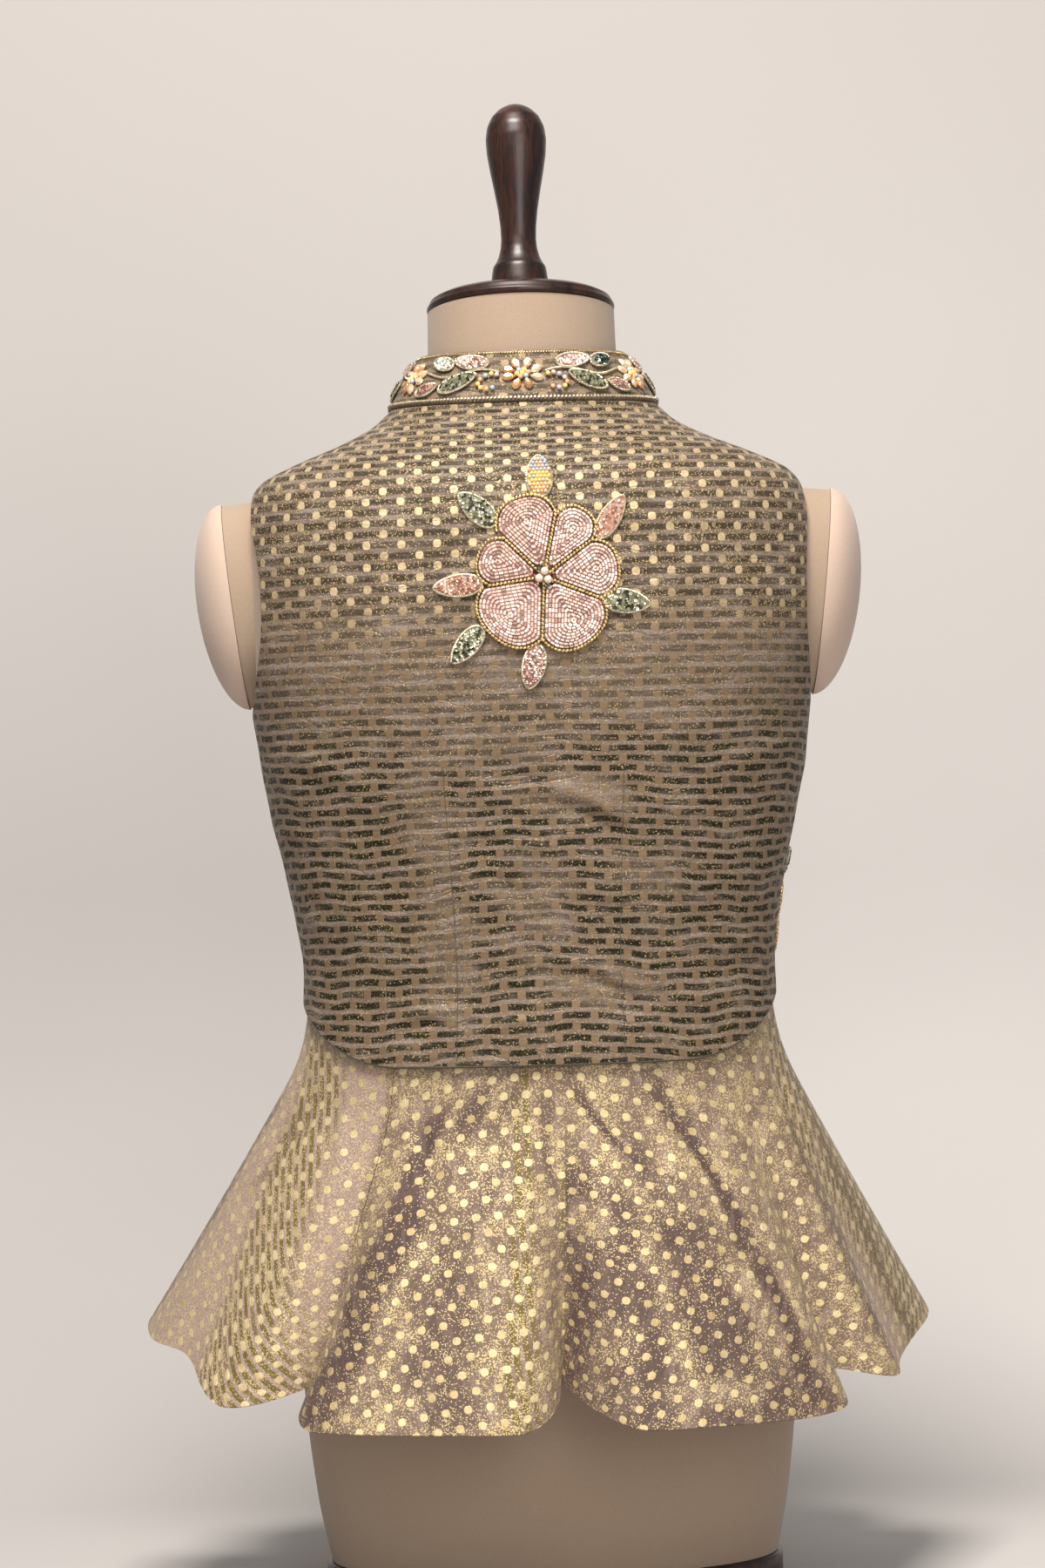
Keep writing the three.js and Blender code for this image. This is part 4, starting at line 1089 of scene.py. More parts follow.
# Streaks of painted shade, where the peplum's ground is painted plum between the gold: turn and distance down
# of both ends, half width in degrees and strength
PAINTED_SHADE_STREAKS = [
    (-25, 26, -29, 232, 4.4, 1.0),
    (-14, 14, -20, 46, 3.6, 0.85),
    (-4, 8, -9, 34, 3, 0.6),
    (33, 34, 39, 130, 2.8, 1.0),
    (39, 126, 41, 232, 3.0, 1.0),
    (8.5, 16, 21, 70, 1.9, 1.0),
    (21, 62, 29, 84, 1.6, 0.7),
    (27, 12, 33, 50, 2.6, 0.9),
    (7.6, 84, 7.4, 206, 3.4, 1.0),
    (-16, 110, -13, 232, 4.4, 0.7),
    (-20, 60, -19, 160, 2.6, 0.45),
    (0.5, 22, 1.5, 90, 1.6, 0.6),
    (12, 78, 14, 236, 7, 0.82),
    (24, 96, 28, 236, 8, 0.86),
    (17, 44, 26, 96, 3.4, 0.55),
    (27, 128, 36, 236, 4, 0.9),
    (-10, 58, -14, 120, 2, 0.5),
    (-62, 30, -70, 110, 3, 0.5),
    (-84, 60, -88, 230, 5, 0.7),
    (-120, 60, -122, 230, 6, 0.9),
    (-163, 50, -166, 230, 6, 0.9),
    (66, 60, 64, 230, 3.5, 0.6),
    (84, 50, 83, 230, 4, 0.7),
    (105, 60, 108, 230, 5, 0.8),
    (152, 60, 155, 230, 6, 0.9),
]


# Painted highlights, where the painted shade is lifted so that the gold lies thick over the plum: turn,
# distance down, half sizes both ways and strength
PAINTED_HIGHLIGHT_PATCHES = [
    (9, 100, 3.5, 14, 0.75),
    (19, 122, 2.5, 20, 0.5),
    (24, 210, 7, 9, 0.85),
    (12, 176, 2.5, 12, 0.4),
    (33, 190, 2, 16, 0.4),
]


def peplum_middle(turn, along):
    """A point of the peplum: along is the distance down the cloth from the bodice's hem."""
    hem = hem_height(turn)
    tucked = body_point(turn, hem - np.minimum(along, 0), PEPLUM_EASE + FLOUNCE / 2)
    below = np.maximum(along, 0)
    reach, drop = flare_at(flare_slope(turn), below)
    down = np.maximum(below - FOLD_START, 0) / (PEPLUM_LENGTH - FOLD_START)
    draw, sideways = 0 * below, 0 * below
    lift = flare_lift(turn) * down**2
    for fold in FOLDS:
        away = (turn - fold["turn"]) / fold["width"]
        share = bump(away)
        draw = draw + fold["depth"] * share * down**1.4
        lift = lift + fold["lift"] * share * down**2
        lips = np.where(np.abs(away) < 1, -np.sin(np.pi * np.clip(away, -1, 1)) * fold["close"], 0)
        sideways = sideways + (fold["lean"] * share + lips) * down**1.5
    drifted = turn + flare_drift(turn) * down
    across, behind = np.sin(np.radians(drifted)), np.cos(np.radians(drifted))
    out = reach - draw
    top = body_point(drifted, hem, PEPLUM_EASE + FLOUNCE / 2)
    moved = top + stack(across * out + behind * sideways, -behind * out + across * sideways, lift - drop)
    return np.where((along > 0)[..., None], moved, tucked)


def peplum_point(turn, along, out):
    step = 0.3
    around = peplum_middle(turn + step, along) - peplum_middle(turn - step, along)
    up = peplum_middle(turn, along - step) - peplum_middle(turn, along + step)
    normal = unit(np.cross(around, up))
    fade = smooth(along / 20) * smooth((PEPLUM_LENGTH - along) / 25)
    moved = out + crease_height(FLOUNCE_CREASES, turn, along, 2.6, 2, 9, 1.6, 0.65) * fade
    return peplum_middle(turn, along) + normal * moved[..., None]


HEM_TURNS = np.linspace(-180, 180, 1441)


def row_length(along):
    """A row's length as far as each of HEM_TURNS, from the centre back."""
    reach = reach_along(peplum_middle(HEM_TURNS, np.full(HEM_TURNS.shape, max(float(along), 0.01))))
    return reach - np.interp(0, HEM_TURNS, reach)


HEM_LENGTH, TOP_LENGTH = row_length(PEPLUM_LENGTH), row_length(0)
SPREAD = (HEM_LENGTH - TOP_LENGTH) / PEPLUM_LENGTH  # radians that the flat cut opens, as far as each turn
CUT_RADIUS = (TOP_LENGTH[-1] - TOP_LENGTH[0]) / (SPREAD[-1] - SPREAD[0])


def row_reach(turn, along):
    """How far each point lies from the centre back, along its own row of the cloth."""
    rows = zip(turn, along[:, 0])
    return np.stack([np.interp(row, HEM_TURNS, row_length(level)) for row, level in rows])


def peplum_cloth(turn, along):
    """The flat cut is a ring sector. The weave's rows run straight down at the centre back."""
    radius = CUT_RADIUS + along
    opened = row_reach(turn, along) / radius
    u, v = radius * np.cos(opened), radius * np.sin(opened)
    down = along / PEPLUM_LENGTH
    # Painted sheen: where the dark bands show, along the centre fold's crisp edge, down the left and right
    # sides and on the hidden front
    streak = smooth(1.8 - np.abs(turn + 4.5) / 1.4) + bump((turn - 4.2) / 1.5) * smooth((down - 0.2) / 0.2)
    left = smooth(1.7 - np.abs(turn + 66 - 20 * down) / (9 - 2 * down)) * smooth((down - 0.01) / 0.06)
    right = smooth(1.6 - np.abs(turn - 86 + 8 * np.sin(down * 5)) / 14) * smooth(down / 0.1)
    hidden = smooth((np.abs(turn) - 118) / 12) * bump((np.mod(turn, 40) - 20) / 20)
    dark = np.maximum.reduce([np.minimum(streak, 1), left, right * 0.95, hidden * 0.8])
    # Painted shade: plum streaks
    painted_shade = 0 * down
    for t0, a0, t1, a1, width, share in PAINTED_SHADE_STREAKS:
        run = np.clip((along - a0) / (a1 - a0), -0.2, 1.2)
        middle = mix(t0, t1, run) + 0.7 * np.sin(along / 13 + t0)
        reach = width * (1 + 0.25 * np.sin(along / 21 + t1))
        ends = smooth((along - a0 + 14) / 26) * smooth((a1 + 14 - along) / 26)
        painted_shade = np.maximum(painted_shade, share * smooth(1.45 - np.abs(turn - middle) / reach * 1.2) * ends)
    # Painted shade just beside the centre fold's crisp lip
    lip = smooth((turn - 4.2) / 0.8) * smooth((14 - turn) / 6) * smooth((down - 0.2) / 0.12)
    painted_shade = np.maximum(painted_shade, 0.92 * lip)
    left_side = smooth((SEAM_LEFT - turn) / 3)
    right_side = smooth((turn - SEAM_RIGHT - 8) / 8)
    # Painted highlights lift the painted shade in patches
    for turn_at, along_at, half_turn, half_along, share in PAINTED_HIGHLIGHT_PATCHES:
        away = np.hypot((turn - turn_at) / half_turn, (along - along_at) / half_along)
        painted_shade = painted_shade * (1 - share * smooth(1.5 - away))
    # Less painted light on the side panels, beyond the seams
    painted_light = 0.97 - 0.5 * np.maximum(left_side, right_side)
    return cloth_place(u, v, painted_light, dark, painted_shade)


def add_peplum():
    seam = half_gap(SEAM_GAP, 95)
    opening = half_gap(FRONT_OPENING, 95)
    panels = [
        ("peplum_back", SEAM_LEFT + seam, SEAM_RIGHT - seam, 250),
        ("peplum_left", -180 + opening, SEAM_LEFT - seam, 330),
        ("peplum_right", SEAM_RIGHT + seam, 180 - opening, 320),
    ]
    levels = np.concatenate([[-PEPLUM_TUCK, -3], np.linspace(0, PEPLUM_LENGTH, 74)])[::-1]
    for node, start, end, columns in panels:
        turn, along = np.meshgrid(np.linspace(start, end, columns + 1), levels)
        opened = np.interp([start, end], HEM_TURNS, SPREAD)
        half = min((opened[1] - opened[0]) / 2, math.pi / 2)
        outer = CUT_RADIUS + PEPLUM_LENGTH
        width = 2 * outer * math.sin(half)
        length = outer - (CUT_RADIUS - PEPLUM_TUCK) * math.cos(half)
        wall = lambda out: peplum_point(turn, along, FLOUNCE * (out - 0.5))
        cloth = peplum_cloth(turn, along)
        cloth_panel(node, wall, cloth, PEPLUM_BROCADE, (width, length))


# Beadwork: shapes that are repeated, and paths


def repeated(name, shape, spots, tones, material):
    """One object of many copies. spots gives each one's position, axes and scale, and tones its colour."""
    points, faces = shape
    position, ahead, beside, normal, scale = spots
    count, size = len(position), len(points)
    tones = np.ones((count, 3)) if tones is None else tones
    axes = np.stack([ahead, beside, normal], axis=1)
    local = points[None] * scale[:, None, :]
    placed = np.einsum("nki,nij->nkj", local, axes) + position[:, None]
    all_faces = [[i + k * size for i in face] for k in range(count) for face in faces]
    colors = np.repeat(np.concatenate([tones, np.ones((count, 1))], axis=1), size, axis=0)
    return mesh_object(name, placed.reshape(-1, 3), all_faces, [material], tone=colors, sharp=35)


def tube_shape():
    """A short bead along x, one unit long and one unit in radius."""
    angle = full_turn(6)
    rings = [(-0.5, 0.72), (-0.42, 1), (0.42, 1), (0.5, 0.72)]
    rings = [stack(x, r * np.cos(angle), r * np.sin(angle)) for x, r in rings]
    return loft(rings, [(-0.5, 0, 0), (0.5, 0, 0)])


def ball_shape(sides, rings):
    angle = full_turn(sides)
    tilt = np.pi * (np.arange(1, rings + 1) / (rings + 1) - 0.5)
    rings = [stack(np.cos(t) * np.cos(angle), np.cos(t) * np.sin(angle), np.sin(t)) for t in tilt]
    return loft(rings, [(0, 0, -1), (0, 0, 1)])


def sequin_shape():
    """A cupped disc with a hole's dimple in its middle."""
    angle = full_turn(9)
    rings = [(1, 0.1), (1, 0.2), (0.55, 0.08), (0.16, 0.02)]
    rings = [stack(r * np.cos(angle), r * np.sin(angle), z) for r, z in rings]
    return loft(rings, [(0, 0, 0), (0, 0, -0.02)])


def drop_shape():
    """A faceted teardrop stone: pointed towards -x, round towards +x, with a flat table."""
    angle = full_turn(8)
    x = np.cos(angle)
    y = np.sin(angle) * np.where(x < 0, 1 + 0.55 * x, 1)
    rings = [stack(x * share, y * share, z) for share, z in ((1, 0), (1, 0.25), (0.6, 0.75))]
    return loft(rings, [(0, 0, 0), (0, 0, 0.8)])


BUGLE = tube_shape()
BALL = ball_shape(8, 5)
ROUND_BEAD = ball_shape(12, 7)
PEARL = ball_shape(14, 9)
KNOT = ball_shape(6, 3)
SEQUIN = sequin_shape()
DROP = drop_shape()


def surface_spots(place, x, z, direction, out, scale):
    """Where pieces lie on a surface: place(x, z, out) gives its points, and direction the way each points."""
    step = 0.25
    position = place(x, z, out)
    right = unit(place(x + step, z, out) - place(x - step, z, out))
    up = place(x, z + step, out) - place(x, z - step, out)
    normal = unit(np.cross(right, up))
    up = np.cross(normal, right)
    angle = np.radians(direction)[:, None]
    ahead = right * np.cos(angle) + up * np.sin(angle)
    beside = np.cross(normal, ahead)
    return position, ahead, beside, normal, np.broadcast_to(scale, (len(x), 3)).astype(float)


def tilted(spots, pitch, roll):
    """Turns each piece up at its front and over to its side, in degrees."""
    position, ahead, beside, normal, scale = spots
    p, r = np.radians(pitch)[:, None], np.radians(roll)[:, None]
    ahead, normal = ahead * np.cos(p) + normal * np.sin(p), normal * np.cos(p) - ahead * np.sin(p)
    beside, normal = beside * np.cos(r) + normal * np.sin(r), normal * np.cos(r) - beside * np.sin(r)
    return position, ahead, beside, normal, scale


def joined_spots(parts):
    return tuple(np.concatenate([p[k] for p in parts]) for k in range(5))


def even_path(points, pitch, closed=False):
    """Points at an even pitch along a path, with the direction there in degrees."""
    points = np.asarray(points, float)
    if closed:
        points = np.concatenate([points, points[:1]])
    reach = reach_along(points)
    count = max(int(round(reach[-1] / pitch)), 1)
    at = (np.arange(count) + 0.5) * reach[-1] / count if closed else np.linspace(0, reach[-1], count + 1)
    at_reach = lambda place: np.stack([np.interp(place, reach, column) for column in points.T])
    x, z = at_reach(at)
    dx, dz = at_reach(np.minimum(at + pitch * 0.4, reach[-1])) - at_reach(np.maximum(at - pitch * 0.4, 0))
    return x, z, np.degrees(np.arctan2(dz, dx))


def rounded(points, closed=True):
    """Cuts a path's corners, so that it turns smoothly."""
    points = np.asarray(points, float)
    after = np.roll(points, -1, axis=0) if closed else points[1:]
    here = points if closed else points[:-1]
    cut = np.stack([mix(here, after, 0.25), mix(here, after, 0.75)], axis=1).reshape(-1, 2)
    return cut if closed else np.concatenate([points[:1], cut, points[-1:]])


def purl_paths(place, path, radius, twist, out, pitch=0.4):
    """The two strands of a twisted cord along a path on a surface, each a list of points in millimetres."""
    x, z, direction = even_path(path, pitch)
    position, _, beside, normal, _ = surface_spots(place, x, z, direction, np.full(x.shape, out), 1)
    turn = np.arange(len(x)) * pitch / twist * 2 * np.pi
    lines = []
    for angle in (turn, turn + np.pi):
        lines.append(position + radius * (np.cos(angle)[:, None] * beside + np.sin(angle)[:, None] * normal))
    return lines


def leaf_purl(place, leaf, scale, twist, out):
    """The strands round a leaf's edge."""
    edge = rounded(leaf_outline(leaf)) * scale
    return purl_paths(place, np.concatenate([edge, edge[:2]]), 0.5, twist, out)


def tubes(name, lines, radius, material, sides):
    """One object of thin tubes along lines of points."""
    all_points, all_faces, count = [], [], 0
    angle = full_turn(sides)
    for line in lines:
        line = np.asarray(line)
        ahead = unit(np.gradient(line, axis=0))
        guide = np.where(np.abs(ahead[:, 2:3]) < 0.9, [[0, 0, 1]], [[1, 0, 0]])
        side = unit(np.cross(ahead, guide))
        other = np.cross(ahead, side)
        rings = line[:, None] + radius * (
            np.cos(angle)[None, :, None] * side[:, None] + np.sin(angle)[None, :, None] * other[:, None]
        )
        points, faces = loft(rings, [line[0], line[-1]])
        all_points.append(points)
        all_faces += [[i + count for i in face] for face in faces]
        count += len(points)
    return mesh_object(name, np.concatenate(all_points), all_faces, [material], sharp=60)


# The flowers' plan, in each motif's own plane: x to the right and z up


def point_at(angle, r):
    return np.array(polar(angle, r))


CHAIN_WIDTH = 2.8
PETAL_THICK = 2.6
LEAF_THICK = 2
# Each petal's direction, half width in degrees and reach
PETALS = [
    (7, 29, 45),
    (57, 21, 46),
    (106.5, 28.5, 49),
    (161.5, 26.5, 41),
    (227.5, 39.5, 46.5),
    (302.5, 35.5, 47),
]
# Each leaf's middle, direction, length, width and sequins
LEAVES = {
    "pastel": (-1.2, 59, 91, 24, 17, "pastel"),
    "peach_a": (40.5, 34.2, 56, 29, 13, "coral"),
    "green_a": (48.2, -15.8, 352, 28, 15, "green"),
    "peach_b": (-7.7, -53, 256, 26, 15, "pink"),
    "green_b": (-46.6, -39, 228, 27, 14, "green"),
    "peach_c": (-51.2, -4, 184, 29, 14, "coral"),
    "green_c": (-38.4, 40.6, 139, 28, 15, "green"),
}
SIDE_LEAVES = ["green_c", "peach_a", "green_a"]
BACK_MOTIF = (9.4, 616.6)
SIDE_MOTIF = (112, 412, 0.78)
SIDE_CLEAR = 0.2
# Each kind's fourth, palest tone is painted highlight: sequins coloured as glints
SEQUIN_TONES = {
    "green": [(0.36, 0.35, 0.21), (0.55, 0.53, 0.38), (0.07, 0.07, 0.04), (0.78, 0.75, 0.6)],
    "coral": [(0.82, 0.47, 0.33), (0.88, 0.6, 0.46), (0.52, 0.26, 0.18), (0.95, 0.8, 0.68)],
    "pink": [(0.74, 0.46, 0.37), (0.84, 0.62, 0.53), (0.42, 0.22, 0.18), (0.95, 0.84, 0.76)],
    "clear": [(0.52, 0.52, 0.4), (0.7, 0.68, 0.56), (0.22, 0.23, 0.16), (0.88, 0.85, 0.76)],
    "dark": [(0.02, 0.035, 0.025), (0.05, 0.075, 0.05), (0.012, 0.02, 0.015), (0.3, 0.36, 0.28)],
}
# The near-white tone is painted highlight: bugles coloured as glints
PINK_GLASS = [
    (0.76, 0.53, 0.44),
    (0.87, 0.69, 0.6),
    (0.44, 0.26, 0.21),
    (0.98, 0.93, 0.88),
    (0.78, 0.57, 0.48),
]
PASTELS = {
    "yellow": (0.93, 0.7, 0.2),
    "orange": (0.92, 0.45, 0.2),
    "blue": (0.42, 0.55, 0.72),
    "pink": (0.9, 0.58, 0.56),
    "lilac": (0.68, 0.58, 0.78),
    "peach": (0.94, 0.66, 0.45),
}


def pastels(words):
    return np.array([PASTELS[word] for word in words.split()])


def petal_outline(petal):
    angle, half, reach = petal
    inset = CHAIN_WIDTH / 2
    edge_turn = lambda r: half - math.degrees(math.asin(min(inset / r, 1)))
    outer = lambda share: (reach - inset) * (1 - 0.2 * abs(share) ** 3)
    side = [reach * s for s in (0.14, 0.3, 0.5, 0.68)]
    rim = np.linspace(1, -1, 14)
    points = [point_at(angle + edge_turn(r), r) for r in side]
    points += [point_at(angle + share * edge_turn(outer(1)), outer(share)) for share in rim]
    points += [point_at(angle - edge_turn(r), r) for r in side[::-1]]
    return np.array(points)


def leaf_outline(leaf, inset=0.0):
    x, z, angle, long, wide = leaf[:5]
    t = full_turn(36)
    along = -np.cos(t) / 2 * (long - 2 * inset)
    taper = np.abs(np.cos(t / 2)) ** 0.35
    across = np.sin(t) * taper * (wide - 2 * inset) / 2
    ahead, beside = point_at(angle, 1), point_at(angle + 90, 1)
    return np.array([x, z]) + along[:, None] * ahead + across[:, None] * beside


def inside(outline, x, z):
    """Which points lie inside an outline."""
    hits = np.zeros(x.shape, bool)
    for (x0, z0), (x1, z1) in zip(outline, np.roll(outline, -1, axis=0)):
        crosses = (z0 > z) != (z1 > z)
        at = x0 + (z - z0) * (x1 - x0) / (z1 - z0 if z1 != z0 else 1e-9)
        hits ^= crosses & (x < at)
    return hits


def crown(share, thick):
    """How high a raised piece stands, at a share of the way from its middle to its edge."""
    return SEAM_GAP + np.interp(share, [0, 0.66, 1], [thick, thick * 0.85, thick * 0.4])


BUGLE_LENGTH = 2.7
BUGLE_RADIUS = 0.8
ROW_PITCH = 1.95


def petal_beads(place, scale):
    """Rows of glass bugles, one inside another, from each petal's edge to its middle."""
    parts, tones = [], []
    for petal in PETALS:
        outline = rounded(petal_outline(petal)) * scale
        middle = (petal_outline(petal) * scale).mean(0)
        spread = np.sqrt(abs(np.cross(outline, np.roll(outline, -1, axis=0)).sum()) / 2 / np.pi)
        rows = int(spread / ROW_PITCH)
        for k in range(rows):
            share = 1 - (k + 0.45) / rows
            row = middle + (outline - middle) * share
            x, z, direction = even_path(row, BUGLE_LENGTH + 0.2, closed=True)
            out = crown(np.full(x.shape, share), PETAL_THICK) + 0.5
            wobble = rng.normal(0, 2.2, x.shape)
            size = stack(rng.uniform(0.86, 1.0, x.shape) * BUGLE_LENGTH, BUGLE_RADIUS, BUGLE_RADIUS)
            parts.append(surface_spots(place, x, z, direction + wobble, out, size))
            pick = rng.choice(len(PINK_GLASS), x.shape, p=[0.34, 0.26, 0.14, 0.12, 0.14])
            tones.append(np.array(PINK_GLASS)[pick])
    return joined_spots(parts), np.concatenate(tones)


def knots(place, paths, pitch, size, out, slant=34):
    """Small drops of metal along paths on a surface, each turned a little across its path."""
    parts = []
    for path in paths:
        x, z, direction = even_path(path, pitch)
        swing = slant + rng.normal(0, 4, len(x))
        height = out + rng.normal(0, 0.08, len(x))
        scale = np.array(size) * rng.uniform(0.9, 1.08, (len(x), 1))
        parts.append(surface_spots(place, x, z, direction + swing, height, scale))
    return joined_spots(parts)


def chain_knots(place, scale):
    """The gold chain: once along each two petals' shared side, and round each petal's outer edge."""
    lines = []
    for (angle, half, reach), after in zip(PETALS, PETALS[1:] + PETALS[:1]):
        shared = np.linspace(4.5, min(reach, after[2]) * 0.8, 14)
        lines.append(np.stack(polar(angle + half, shared), axis=1))
        share = np.linspace(-1, 1, 22)
        rim = polar(angle + share * half * 0.98, (reach - 0.2) * (1 - 0.2 * np.abs(share) ** 3))
        lines.append(np.stack(rim, axis=1))
    lines = [rounded(line * scale, closed=False) for line in lines]
    return knots(place, lines, 2.3, (1.5, 1.0, 1.15), 2.0, slant=24)


def leaf_pieces(place, leaf, scale):
    """Overlapping sequins in rows across a leaf, from its tip to its root."""
    x0, z0, angle, long, wide, kind = leaf
    outline = leaf_outline(leaf, inset=1.0) * scale
    pitch = 1.75
    ahead, beside = point_at(angle, 1), point_at(angle + 90, 1)
    spots = []
    for j, a in enumerate(np.arange(long / 2 * scale, -long / 2 * scale, -pitch)):
        for c in np.arange(-wide / 2, wide / 2 + pitch, pitch * 1.08) + (j % 2) * pitch / 2:
            spots.append(np.array([x0, z0]) * scale + a * ahead + c * beside)
    spots = np.array(spots) + rng.normal(0, 0.16, (len(spots), 2))
    keep = inside(outline, spots[:, 0], spots[:, 1])
    x, z = spots[keep].T
    middle = np.array([x0, z0]) * scale
    share = np.clip(np.hypot(x - middle[0], z - middle[1]) / (long / 2 * scale), 0, 1)
    out = crown(share, LEAF_THICK) + 0.25 + 0.05 * rng.random(len(x))
    base = surface_spots(place, x, z, np.full(len(x), float(angle)), out, (1.2, 1.2, 1.1))
    base = tilted(base, 22 + rng.normal(0, 12, len(x)), rng.normal(0, 14, len(x)))
    tones = np.array(SEQUIN_TONES[kind])[rng.choice(4, len(x), p=[0.36, 0.26, 0.26, 0.12])]
    return base, tones


def pastel_beads(place, leaf, scale):
    """Rows of seed beads: blue, pink and orange at the tip, yellow in the middle and peach at the root."""
    x0, z0, angle, long, wide = leaf[:5]
    outline = leaf_outline(leaf, inset=1.1) * scale
    pitch = 2.25
    ahead, beside = point_at(angle, 1), point_at(angle + 90, 1)
    spots, colors = [], []
    rows = list(np.arange(long / 2 * scale - 0.8, -long / 2 * scale, -pitch * 0.9))
    for j, a in enumerate(rows):
        depth = j / len(rows)
        for i, c in enumerate(np.arange(-wide, wide, pitch) + (j % 2) * pitch / 2):
            spots.append(np.array([x0, z0]) * scale + a * ahead + c * beside)
            tip = ["blue", "pink", "orange", "blue"][(i + j) % 4]
            root = ["peach", "yellow", "peach", "orange"][(i + 2 * j) % 4]
            name = tip if depth < 0.36 else "yellow" if depth < 0.62 else root
            if 0.3 < depth < 0.7 and (i * 7 + j * 3) % 9 == 0:
                name = "blue"
            colors.append(PASTELS[name])
    spots, colors = np.array(spots), np.array(colors)
    keep = inside(outline, spots[:, 0], spots[:, 1])
    x, z = spots[keep].T
    base = surface_spots(place, x, z, np.zeros(len(x)), np.full(len(x), LEAF_THICK + 0.5), (1.12, 1.12, 0.95))
    return base, colors[keep]


def on_bodice(x, z, out):
    """The bodice's outer face round the back motif."""
    height = BACK_MOTIF[1] + z
    aim = BACK_MOTIF[0] + x
    turn = aim / 1.75
    for _ in range(14):
        turn = turn + (aim - body_point(turn, height, BODICE_EASE)[..., 0]) / 2.4
    return body_point(turn, height, bodice_ease(height) + CLOTH + out)


def on_side(x, z, out):
    """The bodice's outer face round the side motif."""
    turn, level, _ = SIDE_MOTIF
    height = level + z
    return body_point(turn + x / 2.15, height, bodice_ease(height) + CLOTH + SIDE_CLEAR + out)


def add_flower(name, place, leaves, scale):
    """A flower's beads, sequins and cords, over its raised petals and leaves."""
    spots, tones = petal_beads(place, scale)
    repeated(name + "_bugles", BUGLE, spots, tones, GLASS)
    chain = chain_knots(place, scale)
    repeated(name + "_gold_chain", KNOT, chain, None, GOLD)
    parts, colors, purl = [], [], []
    for key in leaves:
        leaf = LEAVES[key]
        purl += leaf_purl(place, leaf, scale, 2.2, 1.25)
        if leaf[5] == "pastel":
            beads, bead_colors = pastel_beads(place, leaf, scale)
            repeated(name + "_pastel_beads", BALL, beads, bead_colors, BEADS)
            continue
        spots, tones = leaf_pieces(place, leaf, scale)
        parts.append(spots)
        colors.append(tones)
    repeated(name + "_sequins", SEQUIN, joined_spots(parts), np.concatenate(colors), SEQUINS)
    tubes(name + "_silver_purl", purl, 0.5, SILVER, 5)
    add_flower_centre(name, place)


def add_flower_centre(name, place):
    """Three pearls, with small dark and red stones round them."""
    x, z = polar(np.array([200, 320, 80]), 3.1)
    spots = surface_spots(place, x, z, 0 * x, np.full(3, 4.6), (2.4, 2.4, 2.4))
    repeated(name + "_pearls", PEARL, spots, np.tile((0.86, 0.74, 0.6), (3, 1)), PEARLS)
    angle = np.arange(7) * 360 / 7 + 20
    x, z = polar(angle, 5.6)
    spots = surface_spots(place, x, z, angle, np.full(7, 2.6), (1.35, 1.35, 1.5))
    tones = np.array([(0.3, 0.02, 0.02), (0.55, 0.2, 0.1), (0.02, 0.04, 0.06)])[np.arange(7) % 3]
    repeated(name + "_stones", DROP, spots, tones, CRYSTALS)


COLLAR_FLOWERS = [0, 62, 118]  # degrees from the centre back
COLLAR_REACH = 1.16  # millimetres round the collar for each degree of turn
COLLAR_SLANT = 37
COLLAR_CLEAR = 0.6
STONE_TONES = [(0.74, 0.4, 0.19), (0.82, 0.52, 0.31), (0.56, 0.28, 0.12), (0.9, 0.68, 0.47)]
# Each sprig's leaves: place between two flowers, height up the collar, direction, length, width and sequins
SPRIG = [
    ("upper_peach", 0.42, 0.77, 170, 22, 11, "pink"),
    ("lower_green", 0.49, 0.36, 31, 23, 12, "green"),
    ("upper_green", 0.69, 0.77, 162, 17, 10, "clear"),
    ("lower_peach", 0.76, 0.25, 24, 15, 9, "pink"),
]
# A curl of beads beside the centre flower, in millimetres from the flower's middle
CURL = [
    (-13.5, -0.5), (-16.5, 0.2), (-19.5, -1.2), (-22, -4),
    (-22.8, -7.4), (-21.2, -10.4), (-18, -11.6), (-15, -10.6),
]


def on_collar(turn, up):
    """A place on the collar's outer face, for x and z in millimetres from a turn and a height."""
    return lambda x, z, out: collar_point(turn + x / COLLAR_REACH, up + z / COLLAR_SLANT, out + COLLAR_CLEAR)


def add_collar_flower(node, turn):
    """Eight teardrop stones round seven seed beads."""
    place = on_collar(turn, 0.5)
    angle = np.arange(8) * 45 + 22.5 + rng.normal(0, 3, 8)
    x, z = polar(angle, 7.7 + rng.normal(0, 0.25, 8))
    size = np.array([4.4, 2.75, 2.9]) * rng.uniform(0.93, 1.04, (8, 1))
    spots = surface_spots(place, x, z, angle + rng.normal(0, 5, 8), np.full(8, 0.2), size)
    tones = np.array(STONE_TONES)[rng.integers(0, 4, 8)]
    stones = repeated(node + "_stones", DROP, spots, tones, CRYSTALS)
    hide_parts(node)
    x, z = polar(np.arange(7) * 60 + 10, np.array([2.9] * 6 + [0]))
    spots = surface_spots(place, x, z, 0 * x, np.full(7, 1.6), (1.65, 1.65, 1.5))
    tones = pastels("orange yellow blue yellow orange blue yellow")
    repeated(node + "_beads", ROUND_BEAD, spots, tones, BEADS)


